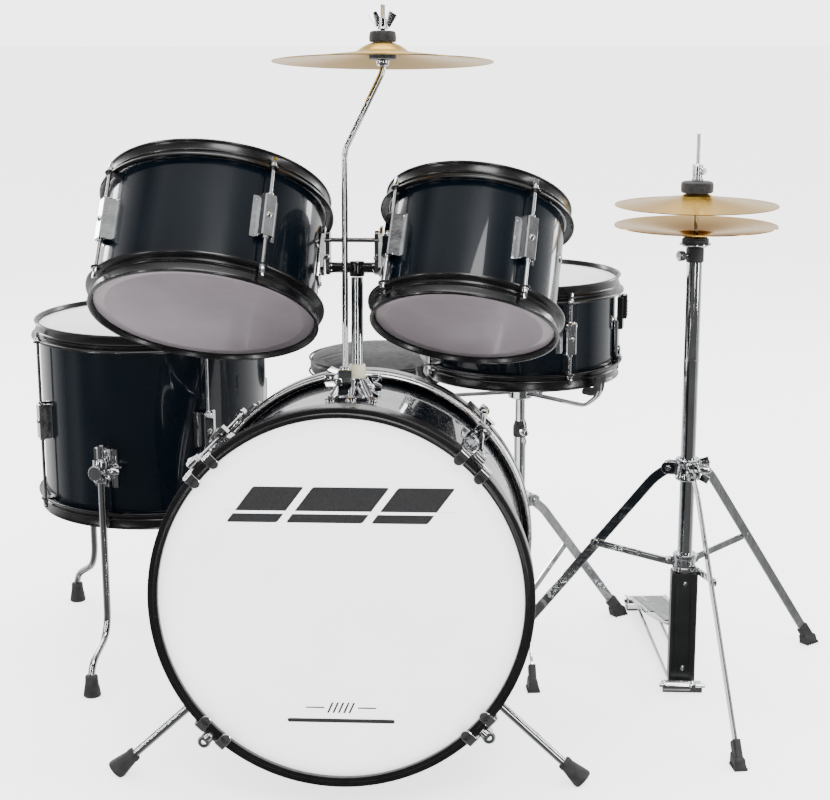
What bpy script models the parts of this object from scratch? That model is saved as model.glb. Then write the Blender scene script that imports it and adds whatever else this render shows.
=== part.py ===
"""A small five-piece acoustic drum kit: bass drum with a double tom holder and a
crash cymbal arm, two rack toms, floor tom, snare drum on its stand, hi-hat with
pedal, throne and bass drum pedal.

The kit faces -Y, +X is to the right when seen from the front and +Z is up.
Inside the kit, positions are measured from the point on the floor below the
middle of the bass drum's front hoop; the empty "kit" moves that point so that
the whole set is centred on the world origin. Every size is in metres.
"""

import math

import bmesh
import bpy
from mathutils import Matrix, Vector

# ---------------------------------------------------------------- driving sizes
KIT_X, KIT_Y = -0.0748, -0.5155   # the kit's origin, so that the set is centred on the world origin
GAP = 0.0004                      # clearance between pieces that touch
RUNNING = 0.0008                  # clearance round a rod that slides or turns in a bore

BASS_RADIUS = 0.203               # 16 inch shell
BASS_DEPTH = 0.357                # over both hoops
BASS_LEAN = math.radians(-4.8)    # the spurs lift the front
BASS_HOOP = 0.215
BASS_AXIS_Z = BASS_HOOP * math.cos(BASS_LEAN) - BASS_DEPTH * math.sin(BASS_LEAN)  # front hoop's middle

SHELL_WALL = 0.005
HOOP_REACH = 0.011                # how far a hoop's flange stands outside its shell
HOOP_HEIGHT = 0.023
HEAD_DROP = 0.006                 # the head lies this far below the hoop's edge

LEFT_TOM = {"radius": 0.127, "depth": 0.162, "centre": (-0.165, 0.195, 0.5988),
            "lean": -33.0, "roll": 3.4}
RIGHT_TOM = {"radius": 0.1016, "depth": 0.160, "centre": (0.1394, 0.172, 0.5906),
             "lean": -31.8, "roll": 6.3}
FLOOR_TOM = {"radius": 0.1524, "depth": 0.259, "centre": (-0.304, 0.515, 0.3395)}
SNARE = {"radius": 0.127, "depth": 0.138, "centre": (0.200, 0.530, 0.4595)}

MOUNT_Y = 0.172                   # along the bass drum, from its front hoop
POST_X, POST_RADIUS = 0.005, 0.007
POST_TOP, POST_BOTTOM = 0.344, 0.120        # above the bass drum's axis
ARM_X, ARM_STEP, ARM_RADIUS = -0.0075, -0.017, 0.0036
CROSSBAR_Z = 0.355
PIVOT_Z = 0.387                   # the rod that both toms tilt on
UPRIGHT_X, UPRIGHT_THICK = 0.0285, 0.005
EAR_THICK = 0.004

CRASH_RADIUS = 0.127
CRASH_CENTRE = (0.036, 0.212, 0.838)
CRASH_LEAN = math.radians(-6.0)
FELT_RADIUS = 0.0155

HIHAT = (0.415, 0.372)
HIHAT_RADIUS = 0.1016
HIHAT_SEAT_Z = 0.597              # underside of the lower cymbal's cup
HIHAT_LOWER_RIM = 0.609
HIHAT_UPPER_RIM = 0.638
HIHAT_TUBE, HIHAT_BORE, PULL_ROD = 0.0095, 0.0060, 0.0032
HIHAT_COLLAR_Z, HIHAT_HUB_Z = 0.298, 0.172
HIHAT_FEET, HIHAT_TURN = 0.256, -80.0
HEEL, HEEL_Z, TOE_Z = (0.392, 0.668), 0.014, 0.074       # the footboard's heel hinge and its toe
PEDAL_BARREL = 0.028              # half of the heel hinge's length
CHANNEL_WIDTH, CHANNEL_DEPTH = 0.034, 0.026

SNARE_STAND = (0.200, 0.530)
STAND_TUBE = 0.008
STAND_COLLAR_Z, STAND_HUB_Z = 0.205, 0.060
STAND_FEET, STAND_TURN = 0.185, 36.0

THRONE = (-0.018, 0.865)
THRONE_RADIUS, THRONE_TOP, THRONE_PAD = 0.112, 0.352, 0.045
THRONE_FEET = 0.170

PEDAL_Y = 0.357                   # just behind the bass drum's batter hoop


# ---------------------------------------------------------------------- helpers
def clear_scene():
    for thing in list(bpy.data.objects):
        bpy.data.objects.remove(thing, do_unlink=True)


def principled(name, colour, roughness, metallic=0.0):
    material = bpy.data.materials.new(name)
    material.use_nodes = True
    shader = material.node_tree.nodes["Principled BSDF"]
    shader.inputs["Base Color"].default_value = (*colour, 1.0)
    shader.inputs["Roughness"].default_value = roughness
    shader.inputs["Metallic"].default_value = metallic
    return material


def finish(name, shape, material, place=None):
    """Turn a bmesh into a named object under the kit empty."""
    bmesh.ops.remove_doubles(shape, verts=shape.verts, dist=1e-6)
    bmesh.ops.recalc_face_normals(shape, faces=shape.faces)
    mesh = bpy.data.meshes.new(name)
    shape.to_mesh(mesh)
    shape.free()
    mesh.materials.append(material)
    mesh.shade_smooth()
    mesh.set_sharp_from_angle(angle=math.radians(35))
    thing = bpy.data.objects.new(name, mesh)
    bpy.context.collection.objects.link(thing)
    thing.parent = KIT
    thing.matrix_local = place if place is not None else Matrix.Identity(4)
    return thing


def combine(base, parts, operation="UNION"):
    """Boolean the parts into the base, one after another, and drop the parts."""
    for part in parts:
        step = base.modifiers.new("step", "BOOLEAN")
        step.operation = operation
        step.solver = "EXACT"
        step.object = part
    bpy.context.view_layer.update()
    graph = bpy.context.evaluated_depsgraph_get()
    mesh = bpy.data.meshes.new_from_object(base.evaluated_get(graph))
    base.modifiers.clear()
    base.data = mesh
    mesh.name = base.name
    for part in parts:
        bpy.data.objects.remove(part, do_unlink=True)
    return base


def turned(profile, sides):
    """Revolve a closed (radius, height) outline about Z; radius 0 points close on the axis."""
    shape = bmesh.new()
    rings = []
    for radius, height in profile:
        if radius < 1e-7:
            rings.append([shape.verts.new((0, 0, height))])
            continue
        ring = []
        for k in range(sides):
            angle = 2 * math.pi * k / sides
            ring.append(shape.verts.new((radius * math.cos(angle), radius * math.sin(angle), height)))
        rings.append(ring)
    for low, high in zip(rings, rings[1:] + rings[:1]):
        if len(low) == 1 and len(high) == 1:
            continue
        for k in range(sides):
            corners = [low[k % len(low)], low[(k + 1) % len(low)],
                       high[(k + 1) % len(high)], high[k % len(high)]]
            shape.faces.new(list(dict.fromkeys(corners)))
    return shape


def block(size, centre=(0, 0, 0)):
    shape = bmesh.new()
    bmesh.ops.create_cube(shape, size=1.0, matrix=Matrix.Translation(centre) @ Matrix.Diagonal((*size, 1)))
    return shape


def round_section(radius, sides):
    return [(radius * math.cos(2 * math.pi * k / sides), radius * math.sin(2 * math.pi * k / sides))
            for k in range(sides)]


def flat_section(width, thickness):
    return [(-width / 2, -thickness / 2), (width / 2, -thickness / 2),
            (width / 2, thickness / 2), (-width / 2, thickness / 2)]


def swept(points, section, side):
    """Sweep a section along a path that lies in the plane square to side, mitred at its bends."""
    points = [Vector(p) for p in points]
    side = Vector(side).normalized()
    runs = [(b - a).normalized() for a, b in zip(points, points[1:])]
    normals = [run.cross(side).normalized() for run in runs]
    shape = bmesh.new()
    rings = []
    for k, point in enumerate(points):
        before, after = normals[max(k - 1, 0)], normals[min(k, len(normals) - 1)]
        mitre = (before + after) / (1 + before.dot(after))
        rings.append([shape.verts.new(point + side * u + mitre * v) for u, v in section])
    for low, high in zip(rings, rings[1:]):
        for k in range(len(section)):
            following = (k + 1) % len(section)
            shape.faces.new((low[k], low[following], high[following], high[k]))
    shape.faces.new(rings[0][::-1])
    shape.faces.new(rings[-1])
    return shape


def ring_outline(inner, outer, low, high):
    return [(inner, low), (outer, low), (outer, high), (inner, high)]


def at(x, y, z=0.0):
    return Matrix.Translation((x, y, z))


def turn(degrees, axis="Z"):
    return Matrix.Rotation(math.radians(degrees), 4, axis)


# -------------------------------------------------------------------- the frame
clear_scene()
KIT = bpy.data.objects.new("kit", None)
bpy.context.collection.objects.link(KIT)
KIT.location = (KIT_X, KIT_Y, 0.0)

SHELL = principled("shell", (0.006, 0.012, 0.022), 0.12)
HOOP = principled("hoop", (0.008, 0.008, 0.010), 0.30, 0.3)
HEAD_WHITE = principled("head_white", (0.86, 0.85, 0.86), 0.45)
HEAD_CLEAR = principled("head_smoke", (0.42, 0.38, 0.40), 0.40)
CHROME = principled("chrome", (0.62, 0.63, 0.64), 0.12, 1.0)
BRASS = principled("cymbal", (0.72, 0.52, 0.18), 0.32, 1.0)
FELT = principled("felt", (0.012, 0.012, 0.013), 0.95)
BLACK_STEEL = principled("black_steel", (0.012, 0.013, 0.014), 0.38, 0.4)
VINYL = principled("vinyl", (0.018, 0.018, 0.019), 0.50)

# The bass drum's own frame: +Y runs from the front hoop to the batter hoop.
BASS_FRAME = at(0, 0, BASS_AXIS_Z) @ Matrix.Rotation(BASS_LEAN, 4, "X")
BASS_TURNED = BASS_FRAME @ turn(-90, "X")      # turned pieces: their Z is the drum's Y


# ------------------------------------------------------------------- bass drum
def bass_hoop_outline(edge, inward):
    """Outer ring, two steps towards the shell and a lip over the head's edge."""
    def along(distance):
        return edge + inward * distance
    return [(0.2030, along(0)), (BASS_HOOP, along(0)), (BASS_HOOP, along(0.030)),
            (0.2125, along(0.030)), (0.2125, along(0.042)), (0.2100, along(0.042)),
            (0.2100, along(0.054)), (0.2087, along(0.054)), (0.2087, along(0.006)),
            (0.2030, along(0.006))]


def bass_head_outline(edge, inward):
    """Membrane with the collar ring that holds it over the shell's edge."""
    def along(distance):
        return edge + inward * distance
    outer, inner = 0.2087 - GAP, BASS_RADIUS + GAP
    return [(0, along(0.0064)), (outer, along(0.0064)), (outer, along(0.020)),
            (inner, along(0.020)), (inner, along(0.0080)), (0, along(0.0080))]


def bass_drum():
    sides = 36
    near, far = 0.0084, BASS_DEPTH - 0.0084
    shell = finish("bass_shell", turned(ring_outline(BASS_RADIUS - SHELL_WALL, BASS_RADIUS, near, far), sides),
                   SHELL, BASS_TURNED)
    cutters = [finish("hole", turned([(0, -0.06), (radius, -0.06), (radius, 0.06), (0, 0.06)], 12),
                      SHELL, BASS_FRAME @ at(x, y, BASS_RADIUS))
               for x, y, radius in ((POST_X, MOUNT_Y, POST_RADIUS + RUNNING),
                                    (ARM_X, MOUNT_Y + ARM_STEP, ARM_RADIUS + RUNNING))]
    for side in (-1, 1):
        start, direction = spur_line(side)
        middle = start + direction * 0.035
        aim = direction.to_track_quat("Z", "Y").to_matrix().to_4x4()
        cutters.append(finish("hole", turned([(0, -0.05), (SPUR_RADIUS + RUNNING, -0.05),
                                              (SPUR_RADIUS + RUNNING, 0.05), (0, 0.05)], 12),
                              SHELL, at(*middle) @ aim))
    combine(shell, cutters, "DIFFERENCE")

    finish("bass_front_hoop", turned(bass_hoop_outline(0, 1), sides), HOOP, BASS_TURNED)
    finish("bass_front_head", turned(bass_head_outline(0, 1), sides), HEAD_WHITE, BASS_TURNED)
    batter = bass_hoop_outline(BASS_DEPTH, -1)
    lip = [(0, BASS_DEPTH - 0.0064), (0.2030, BASS_DEPTH - 0.0064)]
    collar = [(BASS_RADIUS + GAP, BASS_DEPTH - 0.054), (BASS_RADIUS + GAP, BASS_DEPTH - 0.0080),
              (0, BASS_DEPTH - 0.0080)]
    finish("bass_batter_head", turned(lip + batter[:7] + collar, sides), HOOP, BASS_TURNED)


# --------------------------------------------------------------------- spurs
SPUR_RADIUS = 0.0052
SPUR_FOOT = (0.270, 0.066, 0.0)   # where a spur meets the floor
SPUR_ENTRY = (0.150, 0.085, 0.115)  # inside the shell


def spur_line(side):
    """Start point inside the shell and unit direction towards the foot."""
    start = Vector((side * SPUR_ENTRY[0], SPUR_ENTRY[1], SPUR_ENTRY[2]))
    foot = Vector((side * SPUR_FOOT[0], SPUR_FOOT[1], 0.010))
    return start, (foot - start).normalized()


def spurs():
    for side, name in ((-1, "spur_left"), (1, "spur_right")):
        start, direction = spur_line(side)
        foot = Vector((side * SPUR_FOOT[0], SPUR_FOOT[1], 0.010))
        across = direction.cross(Vector((0, 1, 0)))
        rod = finish(name, swept([start, foot], round_section(SPUR_RADIUS, 10), across), CHROME)
        aim = direction.to_track_quat("Z", "Y").to_matrix().to_4x4()
        tip = turned([(0, -0.026), (0.0085, -0.026), (0.0125, 0.004), (0.0118, 0.0065), (0, 0.0065)], 12)
        cap = finish("tip", tip, CHROME, at(*foot) @ aim)
        floor_cut = finish("floor", block((0.1, 0.1, 0.05), (*foot.xy, -0.025)), CHROME)
        combine(rod, [cap])
        combine(rod, [floor_cut], "DIFFERENCE")


# ----------------------------------------------- tom holder and crash cymbal arm
def holder_mount():
    """Saddle casting on top of the bass shell, with a bush for the post and a clamp for the arm."""
    base_low = math.sqrt((BASS_RADIUS + GAP) ** 2 - 0.026 ** 2)
    plate = finish("bass_mount", block((0.052, 0.060, 0.020), (0, MOUNT_Y, base_low + 0.008)), CHROME, BASS_FRAME)
    bush = finish("bush", turned([(0, 0), (0.0125, 0), (0.0112, 0.022), (0.0095, 0.024),
                                  (0.0095, 0.038), (0, 0.038)], 20),
                  CHROME, BASS_FRAME @ at(POST_X, MOUNT_Y, BASS_RADIUS + 0.004))
    clamp = finish("clamp", block((0.017, 0.015, 0.032), (ARM_X, MOUNT_Y + ARM_STEP, BASS_RADIUS + 0.018)),
                   CHROME, BASS_FRAME)
    combine(plate, [bush, clamp])
    saddle = finish("saddle", turned([(0, -0.10), (BASS_RADIUS + GAP, -0.10),
                                      (BASS_RADIUS + GAP, 0.10), (0, 0.10)], 36),
                    CHROME, BASS_TURNED @ at(0, 0, MOUNT_Y))
    post_bore = finish("bore", turned([(0, -0.05), (POST_RADIUS + RUNNING, -0.05),
                                       (POST_RADIUS + RUNNING, 0.08), (0, 0.08)], 16),
                       CHROME, BASS_FRAME @ at(POST_X, MOUNT_Y, BASS_RADIUS))
    arm_bore = finish("bore", turned([(0, -0.05), (ARM_RADIUS + RUNNING, -0.05),
                                      (ARM_RADIUS + RUNNING, 0.08), (0, 0.08)], 12),
                      CHROME, BASS_FRAME @ at(ARM_X, MOUNT_Y + ARM_STEP, BASS_RADIUS))
    combine(plate, [saddle, post_bore, arm_bore], "DIFFERENCE")


def tom_holder():
    finish("tom_post", turned([(0, POST_BOTTOM), (POST_RADIUS, POST_BOTTOM),
                               (POST_RADIUS, POST_TOP), (0, POST_TOP)], 14),
           CHROME, BASS_FRAME @ at(POST_X, MOUNT_Y))
    place = BASS_FRAME @ at(0, MOUNT_Y)
    bar = finish("tom_crossbar", swept([(-UPRIGHT_X, 0, CROSSBAR_Z), (UPRIGHT_X, 0, CROSSBAR_Z)],
                                       round_section(0.0065, 12), (0, 1, 0)), BLACK_STEEL, place)
    parts = []
    for side in (-1, 1):
        parts.append(finish("upright", block((UPRIGHT_THICK, 0.020, 0.052),
                                             (side * UPRIGHT_X, 0, CROSSBAR_Z + 0.018)), BLACK_STEEL, place))
    cap = turned([(0, POST_TOP + GAP), (0.0095, POST_TOP + GAP), (0.0095, CROSSBAR_Z + 0.008),
                  (0, CROSSBAR_Z + 0.008)], 12)
    parts.append(finish("cap", cap, BLACK_STEEL, place @ at(POST_X, 0) @ turn(7)))
    reach = UPRIGHT_X + UPRIGHT_THICK / 2 + EAR_THICK + 0.0045
    parts.append(finish("pivot", swept([(-reach, 0, PIVOT_Z), (reach, 0, PIVOT_Z)],
                                       round_section(0.0026, 8), (0, 1, 0)), BLACK_STEEL, place))
    combine(bar, parts)


def crash_top_frame():
    """Frame on the arm's upper end, square to the resting cymbal."""
    return at(*CRASH_CENTRE) @ Matrix.Rotation(CRASH_LEAN, 4, "X")


def crash_arm():
    foot = BASS_FRAME @ Vector((ARM_X, MOUNT_Y + ARM_STEP, 0.150))
    bend = BASS_FRAME @ Vector((ARM_X, MOUNT_Y + ARM_STEP, 0.490))
    top = crash_top_frame()
    shoulder = top @ Vector((0, 0, -0.030))
    end = top @ Vector((0, 0, 0.046))
    side = (shoulder - bend).cross(Vector((0, 0, 1))).normalized()
    run = (bend - foot).normalized()
    # The arm is one bent bar; each end leans a little, so it is swept as three fused runs.
    lower = finish("crash_arm", swept([foot, bend], round_section(ARM_RADIUS, 10), run.orthogonal()), CHROME)
    middle = finish("run", swept([bend, shoulder], round_section(ARM_RADIUS - 0.00003, 10), side), CHROME)
    upper = finish("run", swept([shoulder, end], round_section(ARM_RADIUS - 0.0008, 10),
                                (end - shoulder).normalized().orthogonal()), CHROME)
    knees = []
    for point, radius in ((bend, ARM_RADIUS + 0.00015), (shoulder, ARM_RADIUS + 0.0001)):
        ball = bmesh.new()
        bmesh.ops.create_icosphere(ball, subdivisions=1, radius=radius * 1.12, matrix=Matrix.Translation(point))
        knees.append(finish("knee", ball, CHROME))
    rest = finish("rest", turned([(0, -0.0235), (0.0065, -0.0235), (0.0075, -0.0180), (0, -0.0180)], 12), CHROME, top)
    combine(lower, [middle, upper] + knees + [rest])

    felts = [(0.0050, -0.0160), (FELT_RADIUS, -0.0160), (FELT_RADIUS, -0.0008), (0.0062, -0.0008),
             (0.0062, 0.0034), (FELT_RADIUS, 0.0034), (FELT_RADIUS, 0.0155), (0.0050, 0.0155)]
    finish("crash_felts", turned(felts, 16), FELT, top)

    bell, wall = 0.0215, 0.0014
    outline = [(0.0075, 0), (0.022, -0.0035), (0.031, -0.0110), (0.075, -0.0165), (CRASH_RADIUS, -bell)]
    under = [(radius - 0.0001, height - wall) for radius, height in outline]
    under[-1] = (CRASH_RADIUS, -bell - 0.0012)
    finish("crash_cymbal", turned(outline + under[::-1], 28), BRASS, top @ at(0, 0, 0.0030))


# ------------------------------------------------------------------------ drums
def hoop_outline(radius, edge, inward):
    """Triple-flanged hoop: rolled edge, wall and the outer flange that the rods pull on."""
    def along(distance):
        return edge + inward * distance
    wall = radius + 0.0038
    return [(wall - 0.0018, along(0)), (wall + 0.0022, along(0)), (wall, along(HOOP_HEIGHT - 0.0028)),
            (radius + HOOP_REACH, along(HOOP_HEIGHT - 0.0020)), (radius + HOOP_REACH, along(HOOP_HEIGHT)),
            (wall - 0.0018, along(HOOP_HEIGHT))]


def head_outline(radius, edge, inward, skin=0.0012):
    """Membrane and collar ring inside the hoop."""
    def along(distance):
        return edge + inward * distance
    outer = radius + 0.0020 - GAP
    return [(0, along(HEAD_DROP)), (outer, along(HEAD_DROP)), (outer, along(HOOP_HEIGHT - 0.002)),
            (radius + GAP, along(HOOP_HEIGHT - 0.002)), (radius + GAP, along(HEAD_DROP + skin)),
            (0, along(HEAD_DROP + skin))]


def headed_hoop_outline(radius, edge, inward, skin=0.0012):
    """A hoop with its head in it, as one closed outline."""
    def along(distance):
        return edge + inward * distance
    hoop = hoop_outline(radius, edge, inward)
    return ([(0, along(HEAD_DROP)), (hoop[0][0], along(HEAD_DROP))] + hoop[:5]
            + [(radius + GAP, along(HOOP_HEIGHT)), (radius + GAP, along(HEAD_DROP + skin)),
               (0, along(HEAD_DROP + skin))])


def drum_frame(drum):
    """The drum's middle, with its Z along the shell's axis."""
    return at(*drum["centre"]) @ turn(drum.get("roll", 0), "Y") @ turn(drum.get("lean", 0), "X")


def drum(prefix, sizes, sides, bottom_head):
    """Shell, upper hoop and head, lower hoop and, where it is a node of its own, the lower head."""
    radius, half, place = sizes["radius"], sizes["depth"] / 2, drum_frame(sizes)
    inset = HEAD_DROP + 0.0012 + GAP
    shell = finish(prefix + "_shell", turned(ring_outline(radius - SHELL_WALL, radius,
                                                          -half + inset, half - inset), sides), SHELL, place)
    finish(prefix + "_top_hoop", turned(hoop_outline(radius, half, -1), sides), HOOP, place)
    finish(prefix + "_batter_head", turned(head_outline(radius, half, -1), sides), HEAD_WHITE, place)
    if bottom_head:
        finish(prefix + "_bottom_hoop", turned(hoop_outline(radius, -half, 1), sides), HOOP, place)
        finish(prefix + "_bottom_head", turned(head_outline(radius, -half, 1), sides), HEAD_CLEAR, place)
    else:
        finish(prefix + "_bottom_hoop", turned(headed_hoop_outline(radius, -half, 1), sides), HOOP, place)
    return shell


def tom_bracket(shell, sizes, side):
    """Fuse the bracket that hangs the tom on the holder's pivot rod into the shell."""
    pivot = BASS_FRAME @ Vector((0, MOUNT_Y, PIVOT_Z))
    inner = UPRIGHT_X + UPRIGHT_THICK / 2 + 0.0006
    lean = turn(sizes["lean"], "X")
    surface = abs(sizes["centre"][0]) - sizes["radius"]
    ear = finish("ear", block((EAR_THICK, 0.024, 0.050), (side * (inner + EAR_THICK / 2), 0, -0.008)),
                 SHELL, at(0, *pivot.yz) @ lean)
    depth = surface + 0.012 - inner
    pad = finish("pad", block((depth, 0.024, 0.034), (side * (inner + EAR_THICK * 0.4 + depth / 2), 0.008, -0.022)),
                 SHELL, at(0, *pivot.yz) @ lean)
    hollow = finish("hollow", turned([(0, -0.12), (sizes["radius"] - SHELL_WALL / 2, -0.12),
                                      (sizes["radius"] - SHELL_WALL / 2, 0.12), (0, 0.12)], 24),
                    SHELL, drum_frame(sizes))
    combine(ear, [pad])
    combine(ear, [hollow], "DIFFERENCE")
    combine(shell, [ear])
    bore = finish("bore", swept([(-0.06, 0, 0), (0.06, 0, 0)], round_section(0.0026 + RUNNING, 12), (0, 1, 0)),
                  SHELL, at(0, *pivot.yz))
    combine(shell, [bore], "DIFFERENCE")


def rack_toms():
    tom_bracket(drum("left_tom", LEFT_TOM, 24, True), LEFT_TOM, -1)
    tom_bracket(drum("right_tom", RIGHT_TOM, 24, True), RIGHT_TOM, 1)


LEG_RADIUS = 0.0048
LEG_OFFSET = 0.0165               # a leg stands this far outside the floor tom's shell
FLOOR_TOM_LEGS = (("front", 256.0), ("left", 137.0), ("right", 17.0))
LEG_TOP, LEG_KNEE, LEG_FOOT = 0.325, 0.088, 0.052


def floor_tom():
    shell = drum("floor_tom", FLOOR_TOM, 28, False)
    x, y, _ = FLOOR_TOM["centre"]
    out = FLOOR_TOM["radius"] + LEG_OFFSET
    for name, angle in FLOOR_TOM_LEGS:
        place = at(x, y) @ turn(angle)
        # Clamp block on the shell that the leg slides through.
        clamp = finish("clamp", block((0.024, 0.024, 0.034), (out - 0.006, 0, 0.292)), SHELL, place)
        bore = finish("bore", swept([(out, 0, 0.20), (out, 0, 0.40)], round_section(LEG_RADIUS + RUNNING, 12),
                                    (0, 1, 0)), SHELL, place)
        hollow = finish("hollow", turned([(0, 0.1), (FLOOR_TOM["radius"] - SHELL_WALL / 2, 0.1),
                                          (FLOOR_TOM["radius"] - SHELL_WALL / 2, 0.5), (0, 0.5)], 28),
                        SHELL, at(x, y))
        combine(clamp, [hollow, bore], "DIFFERENCE")
        combine(shell, [clamp])
        path = [(out, 0, LEG_TOP), (out, 0, LEG_KNEE), (out + 0.008, 0, LEG_KNEE - 0.022),
                (out + LEG_FOOT - 0.008, 0, 0.046), (out + LEG_FOOT, 0, 0.030), (out + LEG_FOOT, 0, 0.012)]
        leg = finish("floor_tom_leg_" + name, swept(path, round_section(LEG_RADIUS, 12), (0, 1, 0)), CHROME, place)
        foot = finish("foot", turned([(0, 0), (0.0115, 0), (0.0085, 0.028), (0, 0.028)], 12),
                      CHROME, place @ at(out + LEG_FOOT, 0))
        combine(leg, [foot])


# --------------------------------------------------------------- folding stands
LEG_THICK, LEG_WIDTH = 0.0032, 0.013      # the stands' legs and braces are flat bars on edge
BRACE_THICK, BRACE_WIDTH, BRACE_ASIDE = 0.0024, 0.0095, 0.0040


def folding_stand(prefix, centre, spec):
    """Sliding collar with three ears, three legs and the three braces that tie them to the hub."""
    tube, collar_z, hub_z = spec["tube"], spec["collar_z"], spec["hub_z"]
    ear, feet = spec["ear"], spec["feet"]
    collar = finish(prefix + "_collar", turned(ring_outline(tube + RUNNING, tube + 0.0065,
                                                            collar_z - 0.014, collar_z + 0.014), 12),
                    CHROME, at(*centre))
    tabs = []
    for name, angle in spec["legs"]:
        place = at(*centre) @ turn(angle)
        for side in (-1, 1):
            tabs.append(finish("tab", block((ear - tube + 0.002, 0.0024, 0.018),
                                            ((ear + tube) / 2 + 0.004, side * 0.0062, collar_z)), CHROME, place))
        # A leg is a flat bar on edge, cranked just below its pivot.
        kink, foot = Vector((ear + 0.020, 0, collar_z - 0.016)), Vector((feet - 0.004, 0, 0.012))
        leg = finish(prefix + "_leg_" + name, swept([(ear, 0, collar_z), kink, foot],
                                                    flat_section(LEG_THICK, LEG_WIDTH), (0, 1, 0)), CHROME, place)
        combine(leg, [finish("shoe", block((0.026, 0.017, 0.016), (feet, 0, 0.008)), CHROME, place)])
        # The brace runs beside the leg, from the hub to a rivet part of the way down.
        rivet = kink.lerp(foot, spec["brace_share"])
        pivot = Vector((tube + spec["hub_reach"], 0, hub_z))
        run = (rivet - pivot).normalized()
        aside = Vector((0, BRACE_ASIDE, 0))
        finish(prefix + "_brace_" + name, swept([pivot - run * 0.002 + aside, rivet + run * 0.005 + aside],
                                                flat_section(BRACE_THICK, BRACE_WIDTH), (0, 1, 0)), CHROME, place)
    combine(collar, tabs)
    sleeve = finish("sleeve", turned([(0, collar_z - 0.05), (tube + RUNNING, collar_z - 0.05),
                                      (tube + RUNNING, collar_z + 0.05), (0, collar_z + 0.05)], 12),
                    CHROME, at(*centre))
    combine(collar, [sleeve], "DIFFERENCE")


def stand_legs(turned_by):
    return (("a", turned_by), ("b", turned_by + 120.0), ("c", turned_by + 240.0))


SNARE_STAND_SPEC = {"tube": STAND_TUBE, "collar_z": STAND_COLLAR_Z, "hub_z": STAND_HUB_Z, "ear": 0.021,
                    "feet": STAND_FEET, "legs": stand_legs(STAND_TURN), "brace_share": 0.34, "hub_reach": 0.0135}
HIHAT_SPEC = {"tube": HIHAT_TUBE, "collar_z": HIHAT_COLLAR_Z, "hub_z": HIHAT_HUB_Z, "ear": 0.024,
              "feet": HIHAT_FEET, "legs": stand_legs(HIHAT_TURN), "brace_share": 0.36, "hub_reach": 0.0130}


def snare_drum():
    drum("snare", SNARE, 24, False)
    x, y, z = SNARE["centre"]
    # The strainer is screwed to the drum's right side; its lever swings down.
    out = SNARE["radius"] + GAP
    place = at(x, y, z) @ turn(-8)
    lever = finish("snare_throw_off", block((0.009, 0.026, 0.046), (out + 0.0070, 0, 0.018)), BLACK_STEEL, place)
    handle = finish("handle", block((0.010, 0.014, 0.034), (out + 0.0110, 0, 0.026)), BLACK_STEEL, place)
    combine(lever, [handle])


def snare_stand():
    x, y = SNARE_STAND
    low, high = STAND_HUB_Z - 0.016, 0.352
    outline = [(0, low), (STAND_TUBE + 0.0060, low), (STAND_TUBE + 0.0060, low + 0.026), (STAND_TUBE, low + 0.030),
               (STAND_TUBE, 0.300), (STAND_TUBE + 0.0015, 0.302), (STAND_TUBE + 0.0015, 0.314),
               (STAND_TUBE - 0.0005, 0.320), (STAND_TUBE - 0.0012, 0.330), (STAND_TUBE - 0.0012, high), (0, high)]
    finish("snare_stand_tube", turned(outline, 14), CHROME, at(x, y))
    folding_stand("snare_stand", SNARE_STAND, SNARE_STAND_SPEC)

    # Basket: a hub block on the tilter and three arms that hook over the lower hoop.
    under = SNARE["centre"][2] - SNARE["depth"] / 2
    hoop = SNARE["radius"] + HOOP_REACH
    hub = finish("snare_basket", turned([(0, high + 0.0018), (0.017, high + 0.0018), (0.017, high + 0.022),
                                         (0, high + 0.022)], 12), CHROME, at(x, y))
    arms = []
    for angle in (STAND_TURN + 40, STAND_TURN + 160, STAND_TURN + 280):
        path = [(0.006, 0, high + 0.010), (hoop - 0.020, 0, high + 0.010), (hoop + 0.0040, 0, under - 0.010),
                (hoop + 0.0060, 0, under + 0.012)]
        arm = finish("arm", swept(path, flat_section(0.014, 0.0040), (0, 1, 0)), CHROME, at(x, y) @ turn(angle))
        pad = finish("pad", block((0.020, 0.012, 0.012), (hoop - 0.006, 0, under - 0.006 - GAP)),
                     CHROME, at(x, y) @ turn(angle))
        arms += [arm, pad]
    combine(hub, arms)


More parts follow.
